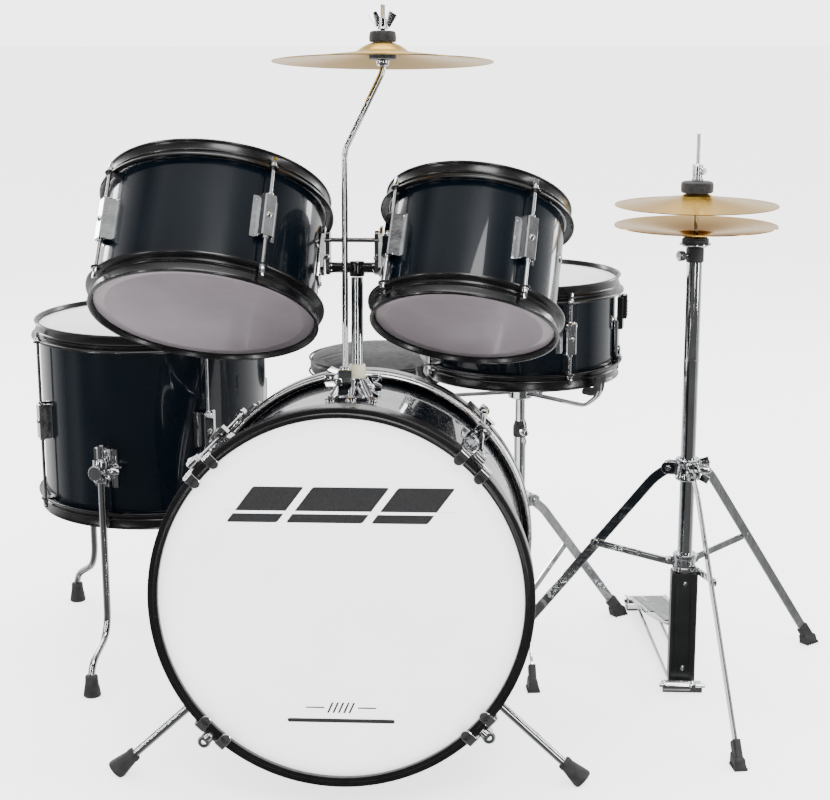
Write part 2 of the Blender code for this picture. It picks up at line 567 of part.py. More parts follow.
# -------------------------------------------------------------------- hi-hat
def hihat_stand():
    x, y = HIHAT
    top = HIHAT_SEAT_Z - GAP
    outline = [(HIHAT_BORE, 0.150), (HIHAT_TUBE, 0.150), (HIHAT_TUBE, HIHAT_HUB_Z - 0.012),
               (HIHAT_TUBE + 0.0060, HIHAT_HUB_Z - 0.010), (HIHAT_TUBE + 0.0060, HIHAT_HUB_Z + 0.012),
               (HIHAT_TUBE, HIHAT_HUB_Z + 0.014), (HIHAT_TUBE, top - 0.030), (0.0108, top - 0.029),
               (0.0108, top - 0.011), (0.0190, top - 0.008), (0.0200, top - 0.003), (0.0175, top),
               (HIHAT_BORE, top)]
    tube = finish("hihat_frame", turned(outline, 14), CHROME, at(x, y))
    # Channel that stands on the base and holds the tube; the pull rod's foot works behind it.
    wall = 0.0035
    front = -CHANNEL_DEPTH / 2
    low, high = 0.010, 0.158
    parts = [block((CHANNEL_WIDTH, wall, high - low), (0, front + wall / 2, (low + high) / 2)),
             block((wall, CHANNEL_DEPTH, high - low - 0.001), (CHANNEL_WIDTH / 2 - wall / 2, 0, (low + high) / 2)),
             block((wall, CHANNEL_DEPTH, high - low - 0.001), (wall / 2 - CHANNEL_WIDTH / 2, 0, (low + high) / 2)),
             block((CHANNEL_WIDTH - 0.001, CHANNEL_DEPTH - 0.001, 0.008), (0, 0, high - 0.002))]
    parts.append(block((0.052, 0.030, 0.016), (0, front - 0.004, 0.008)))
    combine(tube, [finish("part", part, CHROME, at(x, y)) for part in parts])
    # Two radius rods run back along the floor to the plate and ears that hold the heel hinge.
    heel = Vector((*HEEL, 0.0))
    aim = at(*heel) @ turn(math.degrees(math.atan2(x - heel.x, heel.y - y)))
    rods = [finish("plate", block((0.060, 0.020, 0.003), (0, 0, 0.0015)), CHROME, aim)]
    for side in (-1, 1):
        rods.append(finish("ear", block((0.0022, 0.016, 0.0205), (side * (PEDAL_BARREL + 0.0016), 0, 0.01025)),
                           CHROME, aim))
        line = [aim @ Vector((side * 0.012, 0, 0.0024)), (x + side * 0.012, y + front, 0.0024)]
        rods.append(finish("rod", swept(line, round_section(0.0022, 8), (0, 0, 1)), CHROME))
    combine(tube, rods)
    bore = finish("bore", turned([(0, 0.130), (HIHAT_BORE, 0.130), (HIHAT_BORE, 0.200), (0, 0.200)], 14),
                  CHROME, at(x, y))
    combine(tube, [bore], "DIFFERENCE")
    folding_stand("hihat", HIHAT, HIHAT_SPEC)


def cymbal_outline(radius, hole, cup, bow):
    """A hat cymbal: flat-topped cup, shoulder and bow, 1.2 mm thick."""
    top = [(hole, cup + bow), (0.016, cup + bow - 0.0015), (0.025, bow + 0.002), (radius * 0.6, bow * 0.55),
           (radius, 0.0)]
    under = [(r, z - 0.0012) for r, z in top]
    return top + under[::-1]


def hihat_cymbals():
    x, y = HIHAT
    cup, bow = 0.0065, 0.0085
    lower = at(x, y, HIHAT_LOWER_RIM + 0.0030) @ turn(180, "X")
    finish("hihat_bottom_cymbal", turned(cymbal_outline(HIHAT_RADIUS, 0.0065, cup, bow), 24), BRASS, lower)
    finish("hihat_top_cymbal", turned(cymbal_outline(HIHAT_RADIUS, 0.0065, cup, bow), 24), BRASS,
           at(x, y, HIHAT_UPPER_RIM))
    # Pull rod with the clutch; the clutch's own flange sits on the upper cymbal's cup.
    cup_top = HIHAT_UPPER_RIM + cup + bow
    outline = [(0, 0.092), (PULL_ROD, 0.092), (PULL_ROD, cup_top - 0.0120), (0.0110, cup_top - 0.0120),
               (0.0110, cup_top - 0.0024), (0.0050, cup_top - 0.0024), (0.0050, cup_top + GAP),
               (0.0200, cup_top + GAP), (0.0200, cup_top + 0.0140), (0.0072, cup_top + 0.0140),
               (0.0072, cup_top + 0.0350), (PULL_ROD, cup_top + 0.0350), (PULL_ROD, 0.727), (0, 0.727)]
    rod = finish("hihat_pull_rod", turned(outline, 14), CHROME, at(x, y))
    link = finish("link", block((0.012, 0.0035, 0.024), (0, 0, 0.088)), CHROME, at(x, y))
    combine(rod, [link])


def hihat_pedal():
    """Footboard on its heel hinge; the heel rests on the floor behind the stand."""
    toe = Vector((HIHAT[0], HIHAT[1] + CHANNEL_DEPTH / 2 + 0.020, TOE_Z))
    heel = Vector((*HEEL, HEEL_Z))
    run = toe - heel
    across = Vector((run.y, -run.x, 0)).normalized()
    up = across.cross(run.normalized())
    board = finish("hihat_footboard", swept([heel + up * 0.004, toe], flat_section(0.056, 0.0042), across),
                   CHROME, at(0, 0))
    hinge = [heel - across * PEDAL_BARREL, heel + across * PEDAL_BARREL]
    barrel = finish("barrel", swept(hinge, round_section(0.0062, 12), (0, 0, 1)), CHROME)
    combine(board, [barrel])


# -------------------------------------------------------------------- throne
def throne():
    pad_low = THRONE_TOP - THRONE_PAD
    seat = [(0, pad_low), (THRONE_RADIUS - 0.006, pad_low), (THRONE_RADIUS, pad_low + 0.006),
            (THRONE_RADIUS, THRONE_TOP - 0.014), (THRONE_RADIUS - 0.008, THRONE_TOP - 0.004),
            (THRONE_RADIUS - 0.030, THRONE_TOP), (0, THRONE_TOP)]
    place = at(*THRONE)
    finish("throne_seat", turned(seat, 32), VINYL, place)
    post = [(0, 0.060), (0.0150, 0.060), (0.0150, 0.105), (0.0095, 0.108), (0.0095, pad_low - 0.008),
            (0.0300, pad_low - 0.006), (0.0300, pad_low - GAP), (0, pad_low - GAP)]
    base = finish("throne_base", turned(post, 14), CHROME, place)
    legs = []
    for angle in (90.0, 210.0, 330.0):
        path = [(0.010, 0, 0.190), (0.030, 0, 0.176), (THRONE_FEET - 0.006, 0, 0.012)]
        legs.append(finish("leg", swept(path, flat_section(0.014, 0.0040), (0, 1, 0)), CHROME, place @ turn(angle)))
        legs.append(finish("shoe", block((0.028, 0.022, 0.016), (THRONE_FEET, 0, 0.008)),
                           CHROME, place @ turn(angle)))
        legs.append(finish("brace", swept([(0.008, 0, 0.082), (0.098, 0, 0.098)], flat_section(0.011, 0.0030),
                                          (0, 1, 0)), CHROME, place @ turn(angle)))
    legs.append(finish("ring", turned([(0, 0.172), (0.0165, 0.172), (0.0165, 0.202), (0, 0.202)], 12),
                       CHROME, place))
    combine(base, legs)


# ---------------------------------------------------------------- bass pedal
PEDAL_X = -0.022                  # a little left of the middle, clear of the snare stand's leg
PEDAL_PIVOT_Z = 0.172
PEDAL_HALF = 0.031
PEDAL_POST_Y = PEDAL_Y + 0.052
BEATER_RADIUS = 0.021


def bass_pedal():
    """Base frame with two posts, footboard on a heel hinge and the beater on its cross shaft."""
    x = PEDAL_X
    frame = finish("pedal_frame", block((0.060, 0.300, 0.005), (x, PEDAL_POST_Y + 0.110, 0.0025)), CHROME)
    parts = []
    for side in (-1, 1):
        parts.append(block((0.009, 0.022, PEDAL_PIVOT_Z + 0.010),
                           (x + side * PEDAL_HALF, PEDAL_POST_Y, (PEDAL_PIVOT_Z + 0.010) / 2)))
    parts.append(block((0.068, 0.024, 0.012), (x, PEDAL_POST_Y, 0.006)))
    parts.append(block((0.054, 0.014, 0.012), (x, PEDAL_POST_Y + 0.256, 0.006)))
    combine(frame, [finish("part", part, CHROME) for part in parts])
    bores = [finish("bore", swept([(x - 0.06, PEDAL_POST_Y, PEDAL_PIVOT_Z), (x + 0.06, PEDAL_POST_Y, PEDAL_PIVOT_Z)],
                                  round_section(0.0042 + RUNNING, 12), (0, 1, 0)), CHROME)]
    combine(frame, bores, "DIFFERENCE")

    heel = (x, PEDAL_POST_Y + 0.256, 0.0175)
    toe = (x, PEDAL_POST_Y + 0.020, 0.078)
    board = finish("pedal_footboard", swept([heel, toe], flat_section(0.050, 0.0045), (1, 0, 0)), CHROME)
    barrel = finish("barrel", swept([(x - 0.026, heel[1], 0.0180), (x + 0.026, heel[1], 0.0180)],
                                    round_section(0.0052, 12), (0, 0, 1)), CHROME)
    combine(board, [barrel])

    shaft = finish("pedal_beater", swept([(x - 0.038, PEDAL_POST_Y, PEDAL_PIVOT_Z),
                                          (x + 0.038, PEDAL_POST_Y, PEDAL_PIVOT_Z)],
                                         round_section(0.0042, 12), (0, 1, 0)), CHROME)
    stem_top = Vector((x, PEDAL_POST_Y + 0.028, PEDAL_PIVOT_Z + 0.108))
    root = Vector((x, PEDAL_POST_Y, PEDAL_PIVOT_Z))
    stem = finish("stem", swept([root, stem_top], round_section(0.0030, 12), (1, 0, 0)), CHROME)
    hub = finish("hub", block((0.018, 0.016, 0.016), root), CHROME)
    ball = bmesh.new()
    bmesh.ops.create_icosphere(ball, subdivisions=2, radius=BEATER_RADIUS, matrix=Matrix.Translation(stem_top))
    head = finish("head", ball, CHROME)
    cam = finish("cam", block((0.007, 0.026, 0.010), root + Vector((0, 0.010, -0.004))), CHROME)
    combine(shaft, [stem, hub, head, cam])


bass_drum()
spurs()
holder_mount()
tom_holder()
crash_arm()
rack_toms()
floor_tom()
snare_drum()
snare_stand()
hihat_stand()
hihat_cymbals()
hihat_pedal()
throne()
bass_pedal()
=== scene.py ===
"""Looks of the small acoustic drum kit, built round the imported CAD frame.

The drums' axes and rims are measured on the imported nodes. The stands, pedals and throne stand at the
part's driving sizes.
"""
import math

import bmesh
import bpy
import numpy as np
from mathutils import Matrix, Vector


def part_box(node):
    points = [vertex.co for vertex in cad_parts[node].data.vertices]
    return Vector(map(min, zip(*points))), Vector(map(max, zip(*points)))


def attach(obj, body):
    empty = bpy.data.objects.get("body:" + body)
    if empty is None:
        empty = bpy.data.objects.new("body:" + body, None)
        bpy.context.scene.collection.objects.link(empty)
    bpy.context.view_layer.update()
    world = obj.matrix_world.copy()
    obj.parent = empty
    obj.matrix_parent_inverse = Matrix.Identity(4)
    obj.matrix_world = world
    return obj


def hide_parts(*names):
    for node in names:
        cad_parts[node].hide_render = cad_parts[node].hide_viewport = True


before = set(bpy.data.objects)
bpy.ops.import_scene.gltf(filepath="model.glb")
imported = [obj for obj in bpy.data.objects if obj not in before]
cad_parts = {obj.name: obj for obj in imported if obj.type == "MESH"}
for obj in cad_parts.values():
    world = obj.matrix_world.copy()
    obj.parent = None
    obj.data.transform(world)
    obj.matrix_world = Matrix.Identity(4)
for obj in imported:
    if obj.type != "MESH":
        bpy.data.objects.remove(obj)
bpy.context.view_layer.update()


# ------------------------------------------------------------------- materials
def node(tree, kind, **inputs):
    """A new shader node; inputs are named with underscores for spaces."""
    made = tree.nodes.new("ShaderNode" + kind)
    for name, value in inputs.items():
        made.inputs[name.replace("_", " ")].default_value = value
    return made


def material(name, roughness, metallic=0.0, **sockets):
    """A Principled material; sockets are named with underscores for spaces."""
    made = bpy.data.materials.new(name)
    made.use_nodes = True
    shader = made.node_tree.nodes["Principled BSDF"]
    for socket, value in {"Roughness": roughness, "Metallic": metallic, **sockets}.items():
        shader.inputs[socket.replace("_", " ")].default_value = value
    return made


def feed(made, output, socket):
    """Lead an output into the material's shader."""
    made.node_tree.links.new(output, made.node_tree.nodes["Principled BSDF"].inputs[socket])


def coordinates(tree):
    return node(tree, "TexCoord").outputs["Object"]


def grain(made, scale, detail, vector=None):
    """Noise over the piece's own coordinates, from 0 to 1."""
    tree = made.node_tree
    noise = node(tree, "TexNoise", Scale=scale, Detail=detail)
    tree.links.new(vector or coordinates(tree), noise.inputs["Vector"])
    return noise.outputs["Fac"]


def rings(made):
    """The distance from the piece's own Z axis, as a vector for a noise that runs in rings."""
    tree = made.node_tree
    flat, length = node(tree, "VectorMath"), node(tree, "VectorMath")
    flat.operation, length.operation = "MULTIPLY", "LENGTH"
    flat.inputs[1].default_value = (1, 1, 0)
    joined = node(tree, "CombineXYZ")
    tree.links.new(coordinates(tree), flat.inputs[0])
    tree.links.new(flat.outputs["Vector"], length.inputs[0])
    tree.links.new(length.outputs["Value"], joined.inputs["X"])
    return joined.outputs["Vector"]


def shade(made, value, low, high, start=0.35, end=0.65):
    """Colour between low and high, as the value goes from start to end."""
    ramp = node(made.node_tree, "ValToRGB")
    for element, position, colour in zip(ramp.color_ramp.elements, (start, end), (low, high)):
        element.position, element.color = position, (*colour, 1.0)
    made.node_tree.links.new(value, ramp.inputs["Fac"])
    feed(made, ramp.outputs["Color"], "Base Color")


def gloss(made, value, low, high):
    """Roughness between low and high."""
    spread = node(made.node_tree, "MapRange", From_Min=0.3, From_Max=0.7, To_Min=low, To_Max=high)
    made.node_tree.links.new(value, spread.inputs["Value"])
    feed(made, spread.outputs["Result"], "Roughness")


def relief(made, value, strength, depth):
    bump = node(made.node_tree, "Bump", Strength=strength, Distance=depth)
    made.node_tree.links.new(value, bump.inputs["Height"])
    feed(made, bump.outputs["Normal"], "Normal")


def cells(made, scale):
    """Leather cells."""
    voronoi = node(made.node_tree, "TexVoronoi")
    voronoi.feature = "DISTANCE_TO_EDGE"
    voronoi.inputs["Scale"].default_value = scale
    made.node_tree.links.new(coordinates(made.node_tree), voronoi.inputs["Vector"])
    return voronoi.outputs["Distance"]


def coated(name, roughness, clouds, colours, worn, spread, dents=None, span=(0.35, 0.65), metallic=0.0,
        ringed=False, **sockets):
    """Colour, roughness and relief that each follow a noise, given as its scale and detail."""
    made = material(name, roughness, metallic, **sockets)
    vector = rings(made) if ringed else None
    shade(made, grain(made, *clouds, vector), *colours, *span)
    gloss(made, grain(made, *worn, vector), *spread)
    if dents:
        relief(made, grain(made, *dents[:2], vector), *dents[2:])
    return made


def enamel(name, low, high, spread, **sockets):
    """Black paint with a slight orange peel and worn gloss."""
    return coated(name, spread[0], (35, 5), (low, high), (14, 4), spread, (700, 3, 0.015, 0.0005),
        **sockets)


def chrome(name, low, high, spread, dents=(120, 3, 0.012, 0.0005)):
    return coated(name, spread[0], (30, 4), (low, high), (70, 5), spread, dents, metallic=1.0)


def film(name, low, high, spread, **sockets):
    """Drum film: a fine coating with faint clouds."""
    return coated(name, spread[0], (9, 5), (low, high), (30, 6), spread, (1500, 3, 0.1, 0.0003), (0.3, 0.7),
        **sockets)


def soft(name, low, high, scale, strength, roughness, **sockets):
    """Felt, rubber, nylon or ink."""
    return coated(name, roughness, (scale / 4, 5), (low, high), (scale / 2, 4),
        (roughness - 0.08, roughness + 0.04), (scale, 6, strength, 0.0006), **sockets)


def lathed_brass():
    """Lathed and brushed: rings round the piece's own Z axis and a streaked sheen across them."""
    made = coated("lathed_brass", 0.32, (420, 4), ((0.46, 0.26, 0.036), (0.66, 0.41, 0.085)), (900, 2),
        (0.26, 0.36), (1300, 3, 0.12, 0.0003), (0.3, 0.7), 1.0, True, Anisotropic=0.82,
        Anisotropic_Rotation=0.25)
    tangent = node(made.node_tree, "Tangent")
    tangent.direction_type, tangent.axis = "RADIAL", "Z"
    feed(made, tangent.outputs["Tangent"], "Tangent")
    return made


WRAP = coated("navy_wrap", 0.25, (7, 4), ((0.0004, 0.0018, 0.0036), (0.0007, 0.0027, 0.0052)), (18, 5),
    (0.2, 0.28), (60, 2, 0.006, 0.0005), Coat_Weight=0.85, Coat_Roughness=0.03, Specular_IOR_Level=0.15,
    Coat_IOR=1.38)
HOOP = enamel("hoop_enamel", (0.0012, 0.0012, 0.0015), (0.0022, 0.0021, 0.0025), (0.24, 0.3),
    Coat_Weight=0.3, Coat_Roughness=0.15)
GLOSS = enamel("gloss_black", (0.0015, 0.0015, 0.002), (0.003, 0.003, 0.0035), (0.1, 0.16), Coat_Weight=1.0,
    Coat_Roughness=0.08)
STEEL = enamel("black_steel", (0.002, 0.0024, 0.0024), (0.0045, 0.005, 0.0055), (0.34, 0.44))
WHITE = film("white_film", (0.88, 0.865, 0.88), (0.93, 0.92, 0.93), (0.34, 0.48))
SMOKE = film("smoke_film", (0.118, 0.1, 0.111), (0.15, 0.13, 0.142), (0.3, 0.42), Coat_Weight=0.5,
    Coat_Roughness=0.12)
CHROME = chrome("chrome", (0.66, 0.67, 0.68), (0.78, 0.79, 0.8), (0.04, 0.1))
WAVY = chrome("wavy_chrome", (0.64, 0.66, 0.66), (0.8, 0.81, 0.82), (0.05, 0.12), (38, 3, 0.6, 0.0016))
PLATE = chrome("plated_sheet", (0.64, 0.65, 0.66), (0.78, 0.79, 0.8), (0.05, 0.11), (75, 3, 0.35, 0.001))
STRIP = chrome("chromed_strip", (0.66, 0.65, 0.67), (0.8, 0.78, 0.8), (0.14, 0.24))
DARK = chrome("smoked_chrome", (0.28, 0.28, 0.29), (0.42, 0.42, 0.43), (0.1, 0.18))
BRASS = lathed_brass()
FELT = soft("black_felt", (0.006, 0.006, 0.007), (0.02, 0.02, 0.022), 900, 0.7, 0.92, Sheen_Weight=0.15)
CREAM_FELT = soft("cream_felt", (0.55, 0.52, 0.44), (0.72, 0.69, 0.6), 800, 0.7, 0.9, Sheen_Weight=0.2)
RUBBER = soft("rubber", (0.008, 0.008, 0.009), (0.017, 0.017, 0.018), 500, 0.18, 0.62)
NYLON = soft("nylon", (0.62, 0.57, 0.4), (0.72, 0.68, 0.52), 260, 0.06, 0.38)
VINYL = coated("black_vinyl", 0.45, (25, 5), ((0.003, 0.003, 0.0034), (0.0075, 0.0075, 0.0082)), (120, 4),
    (0.38, 0.54), Coat_Weight=0.08, Coat_Roughness=0.3, Specular_IOR_Level=0.35)
relief(VINYL, cells(VINYL, 520), 0.3, 0.0005)
INK = soft("black_ink", (0.008, 0.008, 0.009), (0.014, 0.014, 0.015), 1500, 0.05, 0.5)


# ---------------------------------------------------------------- shape helpers
def at(x, y, z=0.0):
    return Matrix.Translation((x, y, z))


def turn(degrees, axis="Z"):
    return Matrix.Rotation(math.radians(degrees), 4, axis)


def aimed(start, end):
    """Frame at start whose Z points to end."""
    start, end = Vector(start), Vector(end)
    return Matrix.Translation(start) @ (end - start).to_track_quat("Z", "Y").to_matrix().to_4x4()


def framed(x, y, z, origin):
    """Frame with these three axes."""
    place = Matrix((x, y, z)).transposed().to_4x4()
    place.translation = origin
    return place


def outline(steps, radius=0.0, height=0.0, way=1):
    """Profile from steps in millimetres off a radius and a height; a radius of None is on the axis."""
    return [(0.0 if out is None else radius + out / 1000, height + way * up / 1000) for out, up in steps]


def turned(profile, sides=64):
    """Revolve a closed (radius, height) outline about Z; radius 0 points close on the axis."""
    shape = bmesh.new()
    circles = []
    for radius, height in profile:
        if radius < 1e-7:
            circles.append([shape.verts.new((0, 0, height))])
            continue
        circles.append([shape.verts.new((radius * math.cos(a), radius * math.sin(a),
            height)) for a in (2 * math.pi * k / sides for k in range(sides))])
    for low, high in zip(circles, circles[1:] + circles[:1]):
        if len(low) == 1 and len(high) == 1:
            continue
        for k in range(sides):
            corners = [low[k % len(low)], low[(k + 1) % len(low)], high[(k + 1) % len(high)],
                high[k % len(high)]]
            shape.faces.new(list(dict.fromkeys(corners)))
    return shape


def rod(radius, low, high, sides=24, edge=0.0006):
    """A turned rod with a small chamfer at each end."""
    edge = min(edge, radius * 0.4)
    return turned([(0, low), (radius - edge, low), (radius, low + edge), (radius, high - edge),
        (radius - edge, high), (0, high)], sides)


def slab(size, bevel=0.0008, segments=2):
    shape = bmesh.new()
    bmesh.ops.create_cube(shape, size=1.0, matrix=Matrix.Diagonal((*size, 1)))
    bmesh.ops.bevel(shape, geom=shape.edges[:], offset=min(bevel, min(size) * 0.4), segments=segments,
        profile=0.7, affect="EDGES")
    return shape


def slab_at(size, bevel, spot):
    return merged((slab(size, bevel), at(*spot)))


def sphere(radius):
    shape = bmesh.new()
    bmesh.ops.create_uvsphere(shape, u_segments=24, v_segments=14, radius=radius)
    return shape


def flat_section(width, thickness, corner=0.0006):
    """Rectangle with cut corners."""
    a, b = width / 2, thickness / 2
    c = min(corner, a * 0.6, b * 0.6)
    return [(-a + c, -b), (a - c, -b), (a, -b + c), (a, b - c), (a - c, b), (-a + c, b), (-a, b - c),
        (-a, -b + c)]


def bent(points, reach, steps=6):
    """Round the corners of a path."""
    points = [Vector(p) for p in points]
    path = [points[0]]
    for before, corner, after in zip(points, points[1:], points[2:]):
        into = min(reach, (corner - before).length * 0.45)
        out = min(reach, (after - corner).length * 0.45)
        first = corner + (before - corner).normalized() * into
        last = corner + (after - corner).normalized() * out
        for k in range(steps + 1):
            share = k / steps
            path.append(first.lerp(corner, share).lerp(corner.lerp(last, share), share))
    return path + [points[-1]]


def swept(points, section, side):
    """Sweep a section along a path that lies in the plane square to side."""
    points = [Vector(p) for p in points]
    side = Vector(side).normalized()
    runs = [(b - a).normalized() for a, b in zip(points, points[1:])]
    normals = [run.cross(side).normalized() for run in runs]
    shape = bmesh.new()
    circles = []
    for k, point in enumerate(points):
        before, after = normals[max(k - 1, 0)], normals[min(k, len(normals) - 1)]
        mitre = (before + after) / (1 + before.dot(after))
        circles.append([shape.verts.new(point + side * u + mitre * v) for u, v in section])
    close(shape, circles)
    return shape


def strip(points, width, thickness, corner=0.0006):
    """Flat bar along a path in the XZ plane."""
    return swept(points, flat_section(width, thickness, corner), (0, 1, 0))


def close(shape, circles):
    """Skin a row of equal rings and cap both ends."""
    for low, high in zip(circles, circles[1:]):
        for k in range(len(low)):
            following = (k + 1) % len(low)
            shape.faces.new((low[k], low[following], high[following], high[k]))
    shape.faces.new(circles[0][::-1])
    shape.faces.new(circles[-1])


def tube(points, radius, bend=0.0, sides=20):
    """Round bar along a path in space, with its corners rounded."""
    path = bent(points, bend) if bend else [Vector(p) for p in points]
    across = (path[1] - path[0]).orthogonal().normalized()
    shape = bmesh.new()
    circles = []
    for k, point in enumerate(path):
        run = (path[min(k + 1, len(path) - 1)] - path[max(k - 1, 0)]).normalized()
        across = (across - run * across.dot(run)).normalized()
        other = run.cross(across)
        circles.append([shape.verts.new(point + (across * math.cos(a) + other * math.sin(a)) * radius)
            for a in (2 * math.pi * j / sides for j in range(sides))])
    close(shape, circles)
    return shape


def merged(*parts):
    """One shape from several (shape, matrix) pairs or shapes."""
    whole = bmesh.new()
    for part in parts:
        shape, place = part if isinstance(part, tuple) else (part, Matrix.Identity(4))
        mesh = bpy.data.meshes.new("part")
        shape.to_mesh(mesh)
        shape.free()
        mesh.transform(place)
        whole.from_mesh(mesh)
        bpy.data.meshes.remove(mesh)
    return whole


def piece(name, shape, surface, body, place=None, stands_for=(), angle=38):
    """A named piece that rides on a CAD body and stands for CAD nodes."""
    bmesh.ops.recalc_face_normals(shape, faces=shape.faces)
    mesh = bpy.data.meshes.new(name)
    shape.to_mesh(mesh)
    shape.free()
    mesh.materials.append(surface)
    mesh.shade_smooth()
    mesh.set_sharp_from_angle(angle=math.radians(angle))
    made = bpy.data.objects.new(name, mesh)
    return settle(made, body, place, stands_for)


def lathe(name, profile, sides, surface, body, place, stands_for=()):
    return piece(name, turned(profile, sides), surface, body, place, stands_for)


def link(made):
    bpy.context.scene.collection.objects.link(made)


def settle(made, body, place, stands_for=()):
    link(made)
    if place is not None:
        made.matrix_world = place
    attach(made, body)
    if stands_for:
        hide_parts(*([stands_for] if isinstance(stands_for, str) else stands_for))
    return made


def repeated(name, shape, surface, body, places, angle=38):
    """The same piece at several places, sharing one mesh."""
    first = piece(f"{name}_1", shape, surface, body, places[0], angle=angle)
    for k, place in enumerate(places[1:], 2):
        settle(bpy.data.objects.new(f"{name}_{k}", first.data), body, place)
    return first


# ------------------------------------------------------------ places from the CAD
def corners(node):
    """The node's corners, each counted once."""
    points = np.array([v.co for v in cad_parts[node].data.vertices], float)
    return np.unique(np.round(points, 5), axis=0)


def measured_axis(first, last):
    """Middle, direction, length and radius of the round stack between two turned nodes."""
    a, b = corners(first), corners(last)
    start = a.mean(0)
    along = b.mean(0) - start
    along /= np.linalg.norm(along)
    both = np.vstack((a, b)) - start
    reach = both @ along
    radius = np.linalg.norm(both - np.outer(reach, along), axis=1).max()
    return start, along, reach.min(), reach.max(), radius


def bass_axis():
    """The bass drum's frame: +Y from the front hoop's face to the batter hoop, Z up."""
    start, along, low, high, radius = measured_axis("bass_front_hoop", "bass_batter_head")
    y = Vector(along)
    y = Vector(along)
    x = Vector((1, 0, 0))
    return framed(x, y, x.cross(y), Vector(start + along * low)), high - low, radius


BASS, BASS_DEPTH, BASS_HOOP = bass_axis()
BASS_RADIUS = BASS_HOOP - 0.012
BASS_TURNED = BASS @ turn(-90, "X")
KIT = at(BASS.translation.x, BASS.translation.y)
DRUM_SIDES, BASS_SIDES = 128, 160
HOOP_REACH, HOOP_HEIGHT, HEAD_DROP = 0.011, 0.023, 0.006


class Drum:
    """Frame, radius and half depth of a drum, measured on its hoops."""

    def __init__(self, prefix, body):
        start, along, low, high, radius = measured_axis(prefix + "_bottom_hoop", prefix + "_top_hoop")
        z = Vector(along)
        x = (Vector((1, 0, 0)) - z * z.x).normalized()
        self.place = framed(x, z.cross(x), z, Vector(start + along * (low + high) / 2))
        self.prefix, self.body = prefix, body
        self.half, self.radius = (high - low) / 2, radius - HOOP_REACH

    def out(self, azimuth, reach=0.0, height=0.0):
        """Frame on the shell at an azimuth, with X pointing outwards."""
        return self.place @ turn(azimuth) @ at(self.radius + reach, 0, height)


# -------------------------------------------------------------------- small parts
def wing_bolt(span, length):
    """Wing bolt along +Z: stem, hub and two rounded wings."""
    wings = [(slab((span * 0.42, 0.0028, span * 0.5), 0.0013, 3), turn(side * 24,
        "Y") @ at(side * span * 0.34, 0, length + span * 0.18)) for side in (-1, 1)]
    hub = [(None, -3), (5.8, -3), (5, 4), (3.2, 8), (None, 9)]
    return merged(rod(0.0026, 0, length + 0.002, 16), turned(outline(hub, 0, length), 24), *wings)


def screw_head(radius=0.0034):
    """Round head with a small recess."""
    return turned([(0, 0), (radius, 0), (radius, 0.0006), (radius * 0.8, 0.0017), (radius * 0.35, 0.0021),
        (radius * 0.25, 0.0014), (0, 0.0014)], 20)


def lug_shape(height, depth, width=0.018):
    """Folded channel lug: two flanges on the shell, slanted cheeks and a flat front."""
    half, foot, sheet = width / 2, width / 2 + 0.0065, 0.0013
    outer = [(-0.001, -foot), (0.0006, -foot), (0.0008, -half - 0.0006), (depth - 0.0012, -half * 0.8),
        (depth, -half * 0.66), (depth, half * 0.66), (depth - 0.0012, half * 0.8), (0.0008, half + 0.0006),
        (0.0006, foot), (-0.001, foot)]
    inner = [(-0.001, half - 0.001), (depth - sheet, half * 0.58), (depth - sheet, -half * 0.58),
        (-0.001, -half + 0.001)]
    shape = bmesh.new()
    close(shape, [[shape.verts.new((x, y, z)) for x, y in outer + inner] for z in (-height / 2,
        height / 2)])
    bmesh.ops.bevel(shape, geom=[e for e in shape.edges if abs(e.verts[0].co.z - e.verts[1].co.z) < 1e-6],
        offset=0.0005, segments=1, affect="EDGES")
    lips = [(slab((0.003, width * 0.95, 0.0014), 0.0005), at(depth * 0.55, 0,
        side * (height / 2 - 0.0005))) for side in (-1, 1)]
    return merged(shape, *lips)


def fit_lugs(drum, azimuths, height):
    """Lugs, tension rods with square heads, and the ears that the rods pull on."""
    depth, line, prefix, body = 0.015, 0.0104, drum.prefix, drum.body
    ear = drum.half - HOOP_HEIGHT + 0.001
    repeated(prefix + "_lug", lug_shape(height, depth), PLATE, body, [drum.out(a) for a in azimuths], 30)
    repeated(prefix + "_lug_screw", screw_head(), CHROME, body, [drum.out(a, depth, 0) @ turn(90,
        "Y") for a in azimuths])
    both = [(a, side) for a in azimuths for side in (-1, 1)]
    places = [drum.out(a) @ turn(0 if side > 0 else 180, "X") for a, side in both]
    inside = height / 2 - 0.01
    repeated(prefix + "_tension_rod", merged((rod(0.0021, inside, ear + 0.004, 18), at(line, 0)),
        (rod(0.0036, inside, height / 2 + 0.003, 20), at(line, 0))), CHROME, body, places)
    head = merged(turned(outline([(0, 1.2), (4.6, 1.2), (4.6, 2.4), (3.6, 3), (3.2, 6), (0, 6)]), 24),
        (slab((0.0048, 0.0048, 0.008), 0.0006), at(0, 0, 0.0092)))
    repeated(prefix + "_rod_head", head, CHROME, body, [p @ at(line, 0, ear) for p in places])
    tab = merged((slab((0.015, 0.012, 0.0022), 0.0009), at(0.0068, 0, ear)),
        (rod(0.006, ear - 0.0012, ear + 0.0012, 24), at(line, 0)))
    repeated(prefix + "_hoop_ear", tab, HOOP, body, places)


# ---------------------------------------------------------------------- the drums
# Hoop: rolled edge, wall, middle bead and the outer flange with its lip.
HOOP_STEPS = ((2.2, 1.2), (2.8, .3), (4.8, 0), (6.1, .5), (6.6, 1.6), (6, 2.7), (4.6, 3.3), (4, 4.8),
    (3.8, 11.2), (5, 12.1), (5.5, 13.1), (5, 14.1), (4, 15), (4, 17.2), (6, 18.4), (9.2, 19.4),
    (10.6, 20.3), (11, 21.4), (11, 22.8), (10.4, 23.2), (9.8, 22.6), (8.5, 21.8), (5, 21.2), (2.2, 21.2))
